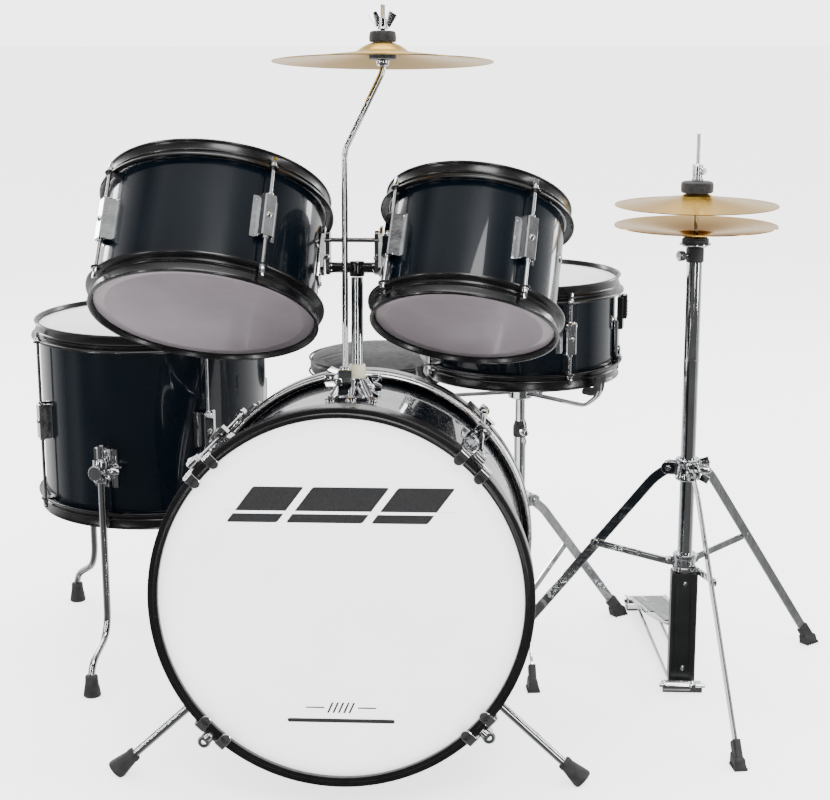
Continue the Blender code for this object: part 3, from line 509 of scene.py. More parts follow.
# Film with a raised collar crease, tucked over the bearing edge to its flesh ring.
HEAD_STEPS = ((None, 6), (-14, 6), (-12.5, 5.6), (-11, 6), (-2, 6), (.4, 6.8), (1.2, 8.2), (1.2, 20),
    (.6, 20), (.6, 8.4), (-2, 7.2), (None, 7.2))
# The metal ring that shows between film and hoop.
FLESH_STEPS = ((1, 5.4), (2.4, 5), (2.4, 10), (1, 10))


def build_drum(prefix, body, azimuths, height, lower_is_node):
    drum = Drum(prefix, body)
    radius, half = drum.radius, drum.half
    inset = HEAD_DROP + 0.0016
    side = [(-5, 2), (-3, 0), (0, 3)]
    shell = outline(side, radius, inset - half) + outline(side[::-1], radius, half - inset, -1)
    lathe(prefix + "_shell_wrapped", shell, DRUM_SIDES, WRAP, body, drum.place, prefix + "_shell")
    for name, way, surface, hoop, head in (("upper", -1, WHITE, "_top_hoop", "_batter_head"),
            ("lower", 1, SMOKE, "_bottom_hoop", "_bottom_head" if lower_is_node else None)):
        for label, steps, surface_here, stand_in in (("hoop", HOOP_STEPS, HOOP, hoop),
                ("film", HEAD_STEPS, surface, head), ("flesh_ring", FLESH_STEPS, STEEL, None)):
            lathe(f"{prefix}_{label}_{name}", outline(steps, radius, -way * half, way), DRUM_SIDES,
                surface_here, body, drum.place, prefix + stand_in if stand_in else ())
    vent = outline([(2, 0), (5.2, 0), (5, 1.4), (3, 1.8), (2, .8)])
    lathe(prefix + "_vent", vent, 28, CHROME, body, drum.out(azimuths[0] - 45, -0.0002, 0.012) @ turn(90,
        "Y"))
    fit_lugs(drum, azimuths, height)
    return drum


LEFT = build_drum("left_tom", "left_tom", (36, 126, 216, 306), 0.05, True)
RIGHT = build_drum("right_tom", "right_tom", (36, 126, 216, 306), 0.05, True)
FLOOR = build_drum("floor_tom", "floor_tom", (33, 123, 213, 306), 0.047, False)
SNARE = build_drum("snare", "snare", (27, 117, 207, 297), 0.04, False)


# ------------------------------------------------------------------ the bass drum
def bass_rings():
    """Shell, hoops and heads, turned about the drum's own axis."""
    side = [(-5, 10), (-3, 8.6), (0, 11)]
    shell = outline(side, BASS_RADIUS) + outline(side[::-1], BASS_RADIUS, BASS_DEPTH, -1)
    lathe("bass_shell_wrapped", shell, BASS_SIDES, WRAP, "bass_drum", BASS_TURNED, "bass_shell")
    outer = [(0, 6.2), (0, 1.2), (.6, .3), (4.5, 0), (5.5, .6), (6.2, 1.8), (10.8, 1.8), (11.8, 2.6),
        (12, 4), (12, 29), (11.2, 30), (10.6, 30.3), (10.4, 30.3), (10.4, 6.2)]
    step = [(9.6, 30.3), (10.6, 30.4), (11.1, 31.6), (11.1, 40.8), (10.4, 41.8), (9.2, 42), (7.2, 42),
        (7.2, 30.3)]
    lip = [(7.2, 42.1), (8.6, 42.1), (9.4, 43.2), (9.4, 52.8), (8.6, 53.8), (6.8, 53.8), (6, 52.8),
        (6, 42.5)]
    film_steps = [(None, 6.4), (-15, 6.4), (-13.5, 6.1), (-12, 6.4), (-2, 6.4), (.2, 6), (.2, 7.8),
        (None, 7.8)]
    for name, start, way, node_name, trim, head in (("front", 0, 1, "bass_front_hoop", HOOP,
            "bass_front_head"), ("batter", BASS_DEPTH, -1, "bass_batter_head", STRIP, ())):
        for label, steps, surface, stands_for in (("hoop_ring", outer, HOOP, node_name),
                ("hoop_step", step, trim, ()), ("hoop_lip", lip, trim, ()),
                ("film", film_steps, WHITE, head)):
            lathe(f"bass_{name}_{label}", outline(steps, BASS_RADIUS, start, way), BASS_SIDES, surface,
                "bass_drum", BASS_TURNED, stands_for)


bass_rings()


HEAD_FACE = 0.0064


def plate_on_head(name, edge, surface, lift=0.0003):
    """Thin printed shape on the front head; its edge is (x, z) round the head's middle."""
    shape = bmesh.new()
    close(shape, [[shape.verts.new((x, y, z)) for x, z in edge] for y in (HEAD_FACE - lift,
        HEAD_FACE - lift + 0.0002)])
    return piece(name, shape, surface, "bass_drum", BASS)


def rounded(half_x, half_z, corner, centre=(0, 0), slope=0.0, steps=6):
    """Rounded bar outline, sheared by slope."""
    points = []
    for k, (sx, sz) in enumerate(((1, 1), (-1, 1), (-1, -1), (1, -1))):
        for j in range(steps + 1):
            a = math.pi / 2 * (k + j / steps)
            x = sx * (half_x - corner) + corner * math.cos(a)
            z = sz * (half_z - corner) + corner * math.sin(a)
            points.append((centre[0] + x + slope * z, centre[1] + z))
    return points


# A plain ornament: three sheared bars with a thin line, and below them reeds, two rules and a bar.
for number, (middle, half) in enumerate(((-0.083, 0.028), (-0.003, 0.042), (0.08, 0.031))):
    plate_on_head(f"head_bar_{number + 1}", rounded(half, 0.02, 0.002, (middle, 0.106), 0.75), INK)
plate_on_head("head_bar_line", rounded(0.128, 0.0016, 0.0015, (0, 0.0975)), WHITE, 0.0006)
for number in range(5):
    plate_on_head(f"head_reed_{number + 1}", rounded(0.0011, 0.0062, 0.001,
        (-0.012 + number * 0.006, -0.124), 0.45), INK)
for side in (-1, 1):
    plate_on_head(f"head_rule_{'left' if side < 0 else 'right'}", rounded(0.0105, 0.0007, 0.0006,
        (side * 0.029, -0.124)), INK)
plate_on_head("head_underline", rounded(0.06, 0.0022, 0.0021, (0, -0.139)), INK)


def bass_frame_at(azimuth, along, radius=0.0):
    """Frame on the shell: X points out from the drum's axis, Z runs back along the drum."""
    radial = turn(-azimuth, "Y")
    return BASS @ at(0, along) @ radial @ at(BASS_RADIUS + radius, 0, 0) @ turn(-90, "X")


def bass_fittings():
    """Claws over both hoops, their rods, and the lugs in the middle of the shell."""
    azimuths = (46.5, 136.5, 227.0, 317.0)
    line = 0.0185
    middle = BASS_DEPTH * 0.52
    lug_places = [bass_frame_at(a, middle) for a in azimuths]
    block = merged(lug_shape(0.034, 0.013, 0.019), (slab((0.013, 0.02, 0.021), 0.003, 3),
        at(line + 0.001, 0, 0)), (rod(0.005, -0.017, 0.017, 28), at(line, 0)))
    repeated("bass_lug", block, PLATE, "bass_drum", lug_places, 30)
    repeated("bass_lug_screw", screw_head(0.004), CHROME, "bass_drum",
        [p @ at(line + 0.0074, 0, 0) @ turn(90, "Y") for p in lug_places])
    # Claw: a plate bent over the hoop, with two round-ended tabs on its front.
    for number, azimuth in enumerate(azimuths):
        for end, start, way in (("front", 0.0, 1), ("batter", BASS_DEPTH, -1)):
            frame_here = bass_frame_at(azimuth, start)
            tabs = []
            for side in (-1, 1):
                path = bent([(0.0018, side * 0.015, -0.0022), (0.0138, side * 0.015, -0.0022),
                    (0.0142, side * 0.015, 0.014)], 0.003, 5)
                tabs += [strip(path, 0.012, 0.0022, 0.0004), (rod(0.006, -0.0033, -0.0011, 28),
                    at(0.0018, side * 0.015))]
            whole = merged(*tabs, (slab((0.003, 0.044, 0.0105), 0.001), at(0.0145, 0, 0.0105)),
                (slab((0.01, 0.013, 0.015), 0.0022, 3), at(line - 0.0002, 0, 0.0105)))
            bmesh.ops.transform(whole, matrix=Matrix.Diagonal((1, 1, way, 1)), verts=whole.verts)
            piece(f"bass_claw_{end}_{number + 1}", whole, PLATE, "bass_drum", frame_here)
            reach = abs(middle - start)
            low, high = (0.002, reach - 0.012) if way > 0 else (0.012 - reach, -0.002)
            stem = merged(rod(0.0028, low, high, 20), rod(0.0046, *sorted((way * 0.016, way * 0.04)), 24),
                turned([(0, way * 0.04), (0.0044, way * 0.04), (0.003, way * 0.046), (0, way * 0.0462)],
                24))
            piece(f"bass_rod_{end}_{number + 1}", stem, CHROME, "bass_drum", frame_here @ at(line, 0, 0))
            handle_z = -0.002 * way
            if azimuth < 180:
                knob = merged((sphere(0.0056), at(0, 0, 0.004 if way > 0 else -0.01)),
                    (rod(0.004, -0.006, 0.006, 20), turn(90, "X")), (slab((0.0085, 0.01, 0.008), 0.002, 3),
                    at(0, 0, way * 0.006)))
                piece(f"bass_knob_{end}_{number + 1}", knob, CHROME, "bass_drum",
                    frame_here @ at(line + 0.001, 0, handle_z))
            else:
                eye = turned(outline([(3, -1.8), (6, -2.2), (7.6, 0), (6, 2.2), (3, 1.8)]), 28)
                piece(f"bass_eye_{end}_{number + 1}", merged(eye, (rod(0.004, -0.004, 0.004, 18),
                    at(-0.008, 0, 0) @ turn(90, "Y"))), CHROME, "bass_drum",
                    frame_here @ at(line + 0.004, 0, -handle_z))


bass_fittings()


SPUR_START, SPUR_FOOT = (0.15, 0.085, 0.115), (0.27, 0.066, 0.01)


def spurs():
    """Round spurs with conical rubber tips, in clamp plates on the shell."""
    for side, name in ((-1, "spur_left"), (1, "spur_right")):
        start = KIT @ Vector((side * SPUR_START[0], *SPUR_START[1:]))
        foot = KIT @ Vector((side * SPUR_FOOT[0], *SPUR_FOOT[1:]))
        aim = aimed(start, foot)
        length = (foot - start).length
        piece(name + "_rod", rod(0.0052, 0.0, length - 0.012, 28), CHROME, name, aim, name)
        tip = outline([(0, -26), (7.8, -26), (8.6, -24.5), (8.8, -21), (8.2, -19.5), (12, 1.5), (12.2, 4),
            (11.2, 5.8), (0, 6.2)])
        cap = turned(tip, 32)
        placed = aim @ at(0, 0, length)
        bmesh.ops.transform(cap, matrix=placed, verts=cap.verts)
        for vert in cap.verts:
            vert.co.z = max(vert.co.z, 0.0)
        piece(name + "_tip", cap, RUBBER, name)
        # Clamp plate and socket on the shell, round the place where the rod comes out.
        inner = BASS.inverted() @ start
        run = BASS.inverted().to_3x3() @ (foot - start).normalized()
        a = run.x ** 2 + run.z ** 2
        b = 2 * (inner.x * run.x + inner.z * run.z)
        c = inner.x ** 2 + inner.z ** 2 - BASS_RADIUS ** 2
        reach = (-b + math.sqrt(b * b - 4 * a * c)) / (2 * a)
        exit_at = inner + run * reach
        azimuth = math.degrees(math.atan2(exit_at.z, exit_at.x))
        seat = bass_frame_at(azimuth, exit_at.y)
        piece(name + "_plate", slab_at((0.0024, 0.04, 0.052), 0.001, (0.001, 0, 0)), CHROME, "bass_drum",
            seat)
        socket = turned(outline([(5.6, -4), (11, -4), (10.4, 14), (9.6, 15.5), (5.6, 15.5)]), 28)
        piece(name + "_socket", socket, CHROME, "bass_drum", aim @ at(0, 0, reach))
        piece(name + "_wing", wing_bolt(0.02, 0.01), CHROME, "bass_drum",
            aim @ at(0, 0, reach + 0.008) @ turn(90, "X") @ at(0, 0, 0.009))
        repeated(name + "_plate_screw", screw_head(0.003), CHROME, "bass_drum",
            [seat @ at(0.0021, y, z) @ turn(90, "Y") for y, z in ((-0.014, -0.02), (0.014, 0.02),
            (-0.014, 0.02), (0.014, -0.02))])


spurs()

# --------------------------------------------------- holder, crossbar and crash arm
MOUNT = BASS @ at(0, 0.172, 0)
POST = (0.005, 0.0, 0.007)
ARM_X, ARM_STEP, ARM_RADIUS = -0.0075, -0.017, 0.0036
CROSSBAR_Z, PIVOT_Z, POST_TOP = 0.355, 0.387, 0.344
UPRIGHT_X = 0.0285
PIVOT = MOUNT @ Vector((0, 0, PIVOT_Z))


def mount_casting():
    """Flared casting with ribs, the nylon bush round the post, the arm's clamp and their bolts."""
    base = BASS_RADIUS
    place = MOUNT
    ribs = []
    for x, y in ((-0.022, -0.025), (0.022, -0.025), (-0.022, 0.025), (0.022, 0.025), (0.0, -0.027),
            (0.0, 0.027)):
        foot = math.sqrt(base ** 2 - x ** 2)
        path = bent([(x * 1.12, y * 1.12, foot + 0.0016), (x, y, foot + 0.003),
            (x * 0.55, y * 0.55, base + 0.02)], 0.008, 5)
        ribs.append(tube(path, 0.0042, 0, 16))
        ribs.append((turned(outline([(0, 0), (6.6, 0), (6.6, 1.6), (5, 3), (0, 3)]), 24),
            at(x * 1.12, y * 1.12, foot)))
    skirt = turned(outline([(0, 3), (24, 3), (23.2, 5), (18, 9), (15, 14), (13.8, 20), (13.6, 24), (12, 25),
        (0, 25)]), 48)
    bmesh.ops.scale(skirt, vec=(1.1, 1.18, 1), verts=skirt.verts)
    body = merged(*ribs, (skirt, at(0, 0, base - 0.001)))
    piece("mount_casting", body, CHROME, "bass_drum", place, "bass_mount")
    count = 12
    rows = []
    plate = bmesh.new()
    for i in range(count + 1):
        x = -0.026 + 0.052 * i / count
        z = math.sqrt((base + 0.0005) ** 2 - x * x)
        rows.append([plate.verts.new((x, y, z + lift)) for y, lift in ((-0.03, 0.002), (0.03, 0.002),
            (0.03, 0), (-0.03, 0))])
    close(plate, rows)
    piece("mount_plate", plate, CHROME, "bass_drum", place)
    bush = outline([(7.4, 23.5), (11.2, 23.5), (11.6, 24.5), (10.4, 26), (9.6, 26.2), (9.6, 37.5),
        (8.8, 38.5), (7.4, 38.5)])
    lathe("mount_bush", bush, 40, NYLON, "bass_drum", place @ at(POST[0], 0, base))
    clamp = merged((slab((0.017, 0.015, 0.03), 0.0026, 3), at(ARM_X, ARM_STEP, base + 0.019)),
        (rod(0.0062, 0.003, 0.037, 28), at(ARM_X, ARM_STEP, base)))
    piece("mount_arm_clamp", clamp, CHROME, "bass_drum", place)
    # Wing bolts on the left and on the right, and a set screw in front.
    left = place @ at(-0.015, 0, base + 0.02) @ turn(-82, "Y") @ turn(60)
    piece("mount_wing_left", wing_bolt(0.025, 0.0105), CHROME, "bass_drum", left)
    right = place @ at(0.015, -0.004, base + 0.015) @ turn(104, "Y") @ turn(30)
    piece("mount_wing_right", wing_bolt(0.0235, 0.0115), CHROME, "bass_drum", right)
    front = place @ at(ARM_X - 0.006, ARM_STEP - 0.004, base + 0.02) @ turn(90, "X")
    piece("mount_set_screw", merged(turned(outline([(2.2, 0), (4.8, 0), (4.8, 5), (3.6, 5.8), (2.2, 5.8)]),
        24), rod(0.0024, 0, 0.0048, 16)), CHROME, "bass_drum", front @ at(0, 0, 0.0015))


mount_casting()

piece("post_tube", merged(rod(0.007, 0.12, POST_TOP, 48, 0.0008), turned(outline([(6.9, 272), (7.4, 272.4),
    (7.4, 273.2), (6.9, 273.6)]), 48)), CHROME, "holder_post", MOUNT @ at(POST[0], 0), "tom_post")


def serrated(span, thick, low, high):
    """Upright plate: a bar with a toothed round head and a rolled foot, square to X."""
    outline_points = []
    for k in range(28):
        a = math.pi * k / 27
        radius = 0.0105 + (0.0006 if k % 2 else 0)
        outline_points.append((radius * math.cos(a), high + radius * math.sin(a)))
    outline_points += [(-span, high - 0.004), (-span, low + 0.003), (-span + 0.003, low),
        (span - 0.003, low), (span, low + 0.003), (span, high - 0.004)]
    shape = bmesh.new()
    close(shape, [[shape.verts.new((x, y, z)) for y, z in outline_points] for x in (-thick / 2, thick / 2)])
    return shape


def crossbar():
    bar = merged((rod(0.0062, -UPRIGHT_X + 0.002, UPRIGHT_X - 0.002, 40), turn(90, "Y")),
        (turned(outline([(0, -10), (8.4, -10), (8.8, -9), (8.8, 6), (7.8, 7.6), (0, 8)]), 40),
        at(POST[0], 0)))
    piece("crossbar_tube", bar, GLOSS, "holder_bar", MOUNT @ at(0, 0, CROSSBAR_Z), "tom_crossbar")
    for side, name in ((-1, "left"), (1, "right")):
        place = MOUNT @ at(side * UPRIGHT_X, 0, CROSSBAR_Z)
        piece(f"crossbar_upright_{name}", serrated(0.0098, 0.0048, -0.008, 0.032), DARK, "holder_bar",
            place)
        nut = turned(outline([(0, 0), (6.6, 0), (6.6, 2.4), (5.8, 3.4), (0, 3.4)]), 6)
        piece(f"crossbar_nut_{name}", nut, CHROME, "holder_bar", place @ at(-side * 0.0024, 0,
            0) @ turn(-side * 90, "Y"))
        screw = place @ at(0, -0.0098, 0.012) @ turn(90, "X")
        piece(f"crossbar_screw_{name}", screw_head(0.0036), CHROME, "holder_bar", screw)
    nuts = [(turned(outline([(0, 34.5), (5.2, 34.5), (5.2, 38.5), (4, 39.5), (0, 39.5)]), 6),
        turn(angle, "Y")) for angle in (90, -90)]
    piece("tilt_rod", merged((rod(0.0026, -0.039, 0.039, 24), turn(90, "Y")), *nuts), DARK, "holder_bar",
        MOUNT @ at(0, 0, PIVOT_Z))


crossbar()


def tom_brackets():
    """Ears on the tilt rod and the plates that carry them on each tom's side."""
    for drum, side in ((LEFT, -1), (RIGHT, 1)):
        lean = -33.0 if side < 0 else -31.8
        ear_x = side * (UPRIGHT_X + 0.0031 + 0.002)
        hinge = at(PIVOT.x, PIVOT.y, PIVOT.z) @ turn(lean, "X")
        ear = serrated(0.011, 0.0036, -0.042, 0.006)
        bmesh.ops.bevel(ear, geom=[e for e in ear.edges if abs(e.verts[0].co.x - e.verts[1].co.x) < 1e-6],
            offset=0.0003, segments=1, affect="EDGES")
        bmesh.ops.translate(ear, vec=(ear_x, 0, 0), verts=ear.verts)
        surface = abs(drum.place.translation.x - KIT.translation.x) - drum.radius
        depth = max(surface + 0.006 - abs(ear_x), 0.012)
        arm = slab((depth, 0.022, 0.03), 0.002, 3)
        bmesh.ops.translate(arm, vec=(side * (abs(ear_x) + depth / 2), 0.008, -0.022), verts=arm.verts)
        piece(drum.prefix + "_bracket", merged(ear, arm), PLATE, drum.body, hinge)
        centre = drum.place.inverted() @ (hinge @ Vector((side * (abs(ear_x) + depth), 0.008, -0.022)))
        azimuth = math.degrees(math.atan2(centre.y, centre.x))
        piece(drum.prefix + "_bracket_plate", slab_at((0.0022, 0.038, 0.056), 0.001, (0.0008, 0, 0)), PLATE,
            drum.body, drum.out(azimuth, 0, centre.z))
        repeated(drum.prefix + "_bracket_screw", screw_head(0.003), CHROME, drum.body,
            [drum.out(azimuth, 0.0018, centre.z) @ at(0, y, z) @ turn(90, "Y") for y,
            z in ((-0.015, 0.0235), (0.015, 0.0235), (-0.015, -0.0235), (0.015, -0.0235))])


tom_brackets()


def crash_frame():
    """Frame of the resting crash: its middle on the arm, Z along the arm's upper end."""
    points = corners("crash_cymbal")
    middle = points.mean(0)
    spread = np.linalg.eigh(np.cov((points - middle).T))[1]
    up = Vector(spread[:, 0])
    up = up if up.z > 0 else -up
    side = (Vector((1, 0, 0)) - up * up.x).normalized()
    return framed(side, up.cross(side), up, KIT @ Vector((0.036, 0.212, 0.838)))


CRASH = crash_frame()


def crash_stand():
    foot = MOUNT @ Vector((ARM_X, ARM_STEP, 0.15))
    bend = MOUNT @ Vector((ARM_X, ARM_STEP, 0.49))
    shoulder, end = CRASH @ Vector((0, 0, -0.03)), CRASH @ Vector((0, 0, -0.018))
    piece("crash_arm_bar", tube([foot, bend, shoulder, end], ARM_RADIUS, 0.0075, 32), CHROME, "crash_arm",
        None, "crash_arm")
    lathe("crash_arm_thread", [(0, -0.018)] + [(0.0026 + (0.0003 if k % 2 else 0),
        -0.018 + k * 0.0006) for k in range(106)] + [(0, 0.0456)], 24, CHROME, "crash_arm", CRASH)
    lathe("crash_arm_rest", outline([(0, -23.5), (6.2, -23.5), (6.8, -22.8), (7.5, -19), (7.5, -18),
        (0, -18)]), 36, CHROME, "crash_arm", CRASH)
    washer = outline([(3.6, -18), (8.2, -18), (8.4, -17.6), (8.2, -17.2), (3.6, -17.2)])
    lathe("crash_washer", washer, 36, CHROME, "crash_arm", CRASH)
    lower = outline([(5.4, -16), (14.8, -16), (15.5, -15.2), (15.6, -6), (15, -2), (14, -1), (5.4, -0.8)])
    upper = outline([(5.4, 3.6), (14.6, 3.6), (15.5, 4.6), (15.6, 9), (14.8, 14.2), (13.2, 15.4),
        (5.4, 15.6)])
    lathe("crash_felt_lower", lower, 48, FELT, "crash_seat", CRASH, "crash_felts")
    lathe("crash_felt_upper", upper, 48, FELT, "crash_seat", CRASH)
    nut = outline([(2.8, 17.6), (6.8, 17.6), (6.8, 18.6), (5.4, 19.8), (4.6, 29), (2.8, 30)])
    wings = []
    for side in (-1, 1):
        wings.append((slab((0.01, 0.0026, 0.0165), 0.0012, 3), at(side * 0.008, 0, 0.029) @ turn(side * 30,
            "Y")))
    piece("crash_wing_nut", merged(turned(nut, 28), *wings), CHROME, "crash_arm", CRASH @ turn(12))


crash_stand()


def cymbal(name, body, place, steps, stands_for, thick=0.0012):
    """Lathed cymbal; steps are (radius, height) of its upper face from the hole to the rim."""
    smooth = []
    for k in range(len(steps) - 1):
        before, start = steps[max(k - 1, 0)], steps[k]
        stop, after = steps[k + 1], steps[min(k + 2, len(steps) - 1)]
        for j in range(6):
            t = j / 6
            smooth.append(tuple(0.5 * (2 * start[i] + (stop[i] - before[i]) * t
                + (2 * before[i] - 5 * start[i] + 4 * stop[i] - after[i]) * t ** 2
                + (3 * start[i] - before[i] - 3 * stop[i] + after[i]) * t ** 3) for i in (0, 1)))
    smooth.append(steps[-1])
    under = [(r, z - thick) for r, z in smooth[::-1]]
    under[0] = (smooth[-1][0] - 0.0003, smooth[-1][1] - thick * 0.8)
    return piece(name, turned(smooth + under, 144), BRASS, body, place, stands_for, 50)


cymbal("crash_plate", "crash", CRASH @ at(0, 0, 0.003), outline([(6, 0), (12, -0.6), (19, -3), (25, -6.6),
    (29.5, -9.8), (36, -11.6), (55, -14), (85, -17.4), (110, -20), (127, -21.6)]), "crash_cymbal")

# ----------------------------------------------------------------- floor tom legs
FLOOR_LEGS = (("front", 256.0), ("left", 137.0), ("right", 17.0))
LEG_RADIUS, LEG_OUT = 0.0048, 0.0165


def floor_tom_legs():
    middle = Vector((FLOOR.place.translation.x, FLOOR.place.translation.y, 0))
    out = FLOOR.radius + LEG_OUT
    for name, azimuth in FLOOR_LEGS:
        place = at(*middle) @ turn(azimuth)
        node = "floor_tom_leg_" + name
        path = [(out, 0, 0.325), (out, 0, 0.088), (out + 0.008, 0, 0.066), (out + 0.044, 0, 0.046),
            (out + 0.052, 0, 0.03), (out + 0.052, 0, 0.014)]
        piece(node + "_bar", tube(path, LEG_RADIUS, 0.012, 32), CHROME, node, place, node)
        foot = outline([(0, 0), (10.4, 0), (11.5, 1), (11.4, 3.5), (10, 12), (8.8, 17.5), (9, 18.5),
            (8.6, 20), (8.4, 27), (7.6, 28.2), (0, 28.2)])
        lathe(node + "_foot", foot, 40, RUBBER, node, place @ at(out + 0.052, 0))
        # Clamp on the shell: plate, block with a round knurled nose, and its wing bolt.
        holder = middle + Vector((0, 0, 0.292))
        seat = at(*holder) @ turn(azimuth)
        plate = merged((slab((0.0024, 0.034, 0.052), 0.001), at(FLOOR.radius + 0.0012, 0, 0)),
            (slab((LEG_OUT + 0.004, 0.02, 0.024), 0.0026, 3), at(FLOOR.radius + (LEG_OUT + 0.002) / 2, 0,
            0)))
        piece(f"floor_tom_clamp_{name}", plate, CHROME, "floor_tom", seat)
        collar = turned([(LEG_RADIUS + 0.0006, -0.015), (0.0098, -0.015), (0.0104, -0.014), (0.0104, 0.014),
            (0.0098, 0.015), (LEG_RADIUS + 0.0006, 0.015)], 32)
        knurl = []
        for k in range(16):
            knurl.append((rod(0.0009, -0.005, 0.005, 8), turn(k * 22.5) @ at(0.0095, 0)))
        nose = merged(rod(0.0096, -0.0052, 0.0052, 36), *knurl)
        piece(f"floor_tom_clamp_collar_{name}", collar, CHROME, "floor_tom", seat @ at(out, 0))
        bmesh.ops.transform(nose, matrix=turn(90, "Y"), verts=nose.verts)
        piece(f"floor_tom_clamp_knurl_{name}", nose, CHROME, "floor_tom", seat @ at(out + 0.0125, 0, 0))
        piece(f"floor_tom_clamp_wing_{name}", wing_bolt(0.021, 0.009), CHROME, "floor_tom",
            seat @ at(out, 0.0095, 0) @ turn(-90, "X") @ turn(20))
        repeated(f"floor_tom_clamp_screw_{name}", screw_head(0.003), CHROME, "floor_tom",
            [seat @ at(FLOOR.radius + 0.0023, 0, z) @ turn(90, "Y") for z in (-0.0205, 0.0205)])


floor_tom_legs()


# ------------------------------------------------------------------ folding stands
def folding_looks(prefix, centre, spec):
    """Collar with ears, flat legs on edge with rubber shoes, and their braces with rivets."""
    tube_r, collar_z, hub_z = spec["tube"], spec["collar_z"], spec["hub_z"]
    ear, feet = spec["ear"], spec["feet"]
    collar = prefix + "_collar"
    ring = outline([(0.9, -13.5), (5.2, -14), (6.4, -12.8), (6.4, -8.6), (5.2, -7), (5.2, 7), (6.4, 8.6),
        (6.4, 12.8), (5.2, 14), (0.9, 13.5)], tube_r)
    lathe(collar + "_ring", ring, 64, CHROME, collar, at(*centre, collar_z), collar)
    hub = outline([(-1, -11), (5, -11.2), (6, -10), (6, -6), (4.6, -4.6), (4.6, 5.6), (6, 7), (6, 11.2),
        (5, 12.4), (-1, 13)], tube_r)
    lathe(prefix + "_hub_ring", hub, 64, CHROME, spec["body"], at(*centre, hub_z))
    for name, azimuth in spec["legs"]:
        place = at(*centre) @ turn(azimuth)
        leg, brace = f"{prefix}_leg_{name}", f"{prefix}_brace_{name}"
        for side, label in ((-1, "a"), (1, "b")):
            tab = merged((slab((ear - tube_r + 0.001, 0.002, 0.0165), 0.0008),
                at((ear + tube_r) / 2 + 0.002, 0, 0)), (rod(0.0078, -0.001, 0.001, 32),
                at(ear + 0.002, 0, 0) @ turn(90, "X")), (turned(outline([(0, 0.9), (3.8, 0.9), (3.6, 2),
                (2.2, 2.6), (0, 2.7)]), 24), at(ear, 0, 0) @ turn(-side * 90, "X")))
            piece(f"{collar}_ear_{name}{label}", tab, CHROME, collar, place @ at(0, side * 0.0062,
                collar_z))
        kink, foot = Vector((ear + 0.02, 0, collar_z - 0.016)), Vector((feet - 0.004, 0, 0.012))
        down = (foot - kink).normalized()
        path = bent([(ear - 0.002, 0, collar_z + 0.001), kink, foot + down * 0.002], 0.01, 6)
        bar = strip(path, 0.0032, 0.013, 0.0008)
        spacers = rod(0.005, -0.005, 0.005, 24)
        rivet = kink.lerp(foot, spec["brace_share"])
        studs = merged(bar, (spacers, at(ear, 0, collar_z) @ turn(90, "X")),
            (turned(outline([(0, -2.2), (4, -2), (4.2, -1.4), (2.6, 1), (2.6, 5.2), (4.2, 5.4), (3.6, 6.6),
            (0, 7)]), 24), at(*rivet) @ turn(-90, "X")))
        piece(leg + "_bar", studs, WAVY, leg, place, leg)
        shoe = slab((0.024, 0.015, 0.0145), 0.003, 3)
        for vert in shoe.verts:
            high = (vert.co.z + 0.00725) / 0.0145
            vert.co.x += -high * 0.005
            vert.co.y *= 1 - 0.22 * high
        sleeve = strip([foot - down * 0.02, foot + down * 0.004], 0.0095, 0.0165, 0.002)
        ridges = [(slab((0.0016, 0.0168, 0.004), 0.0006), at(-0.01 + 0.005 * k, 0,
            -0.0052)) for k in range(5)]
        piece(leg + "_shoe", merged((merged(shoe, *ridges), at(feet, 0, 0.00735)), sleeve), RUBBER, leg,
            place)
        pivot = Vector((tube_r + spec["hub_reach"], 0, hub_z))
        run = (rivet - pivot).normalized()
        aside = Vector((0, 0.004, 0))
        flat = strip([pivot - run * 0.002 + aside, rivet + run * 0.004 + aside], 0.0024, 0.0095, 0.0007)
        ends = [(rod(0.00475, -0.0012, 0.0012, 28), at(*(point + aside)) @ turn(90,
            "X")) for point in (pivot - run * 0.002, rivet + run * 0.004)]
        bead = strip([pivot.lerp(rivet, 0.12) + aside * 1.26, pivot.lerp(rivet, 0.88) + aside * 1.26],
            0.001, 0.0034, 0.0004)
        piece(brace + "_bar", merged(flat, bead, *ends), WAVY, brace, place, brace)
        lug = merged((slab((spec["hub_reach"] - 0.002, 0.0018, 0.012), 0.0006),
            at(tube_r + spec["hub_reach"] / 2, 0.0012, hub_z)), (rod(0.0058, -0.0009, 0.0009, 28),
            at(pivot.x, 0.0012, hub_z) @ turn(90, "X")), (turned(outline([(0, -1.2), (3.4, -1), (2.2, 0),
            (2.2, 5.4), (3.4, 5.6), (2.8, 6.8), (0, 7)]), 24), at(pivot.x, 0.0, hub_z) @ turn(-90, "X")))
        piece(f"{prefix}_hub_lug_{name}", lug, CHROME, spec["body"], place)
    wing_at = at(*centre, collar_z + 0.001) @ turn(spec["legs"][0][1] + 60) @ at(tube_r + 0.005,
        0) @ turn(90, "Y")
    piece(collar + "_wing", wing_bolt(0.023, 0.008), CHROME, collar, wing_at)


def legs_from(turned_by):
    return (("a", turned_by), ("b", turned_by + 120.0), ("c", turned_by + 240.0))


SNARE_SPOT = (KIT.translation.x + 0.2, KIT.translation.y + 0.53)
HIHAT_SPOT = (KIT.translation.x + 0.415, KIT.translation.y + 0.372)
folding_looks("snare_stand", SNARE_SPOT, {"tube": 0.008, "collar_z": 0.205, "hub_z": 0.06, "ear": 0.021,
    "feet": 0.185, "legs": legs_from(36.0), "brace_share": 0.34, "hub_reach": 0.0135,
    "body": "snare_stand"})
folding_looks("hihat", HIHAT_SPOT, {"tube": 0.0095, "collar_z": 0.298, "hub_z": 0.172, "ear": 0.024,
    "feet": 0.256, "legs": legs_from(-80.0), "brace_share": 0.36, "hub_reach": 0.013,
    "body": "hihat_stand"})


SNARE_UNDERSIDE = 0.3905


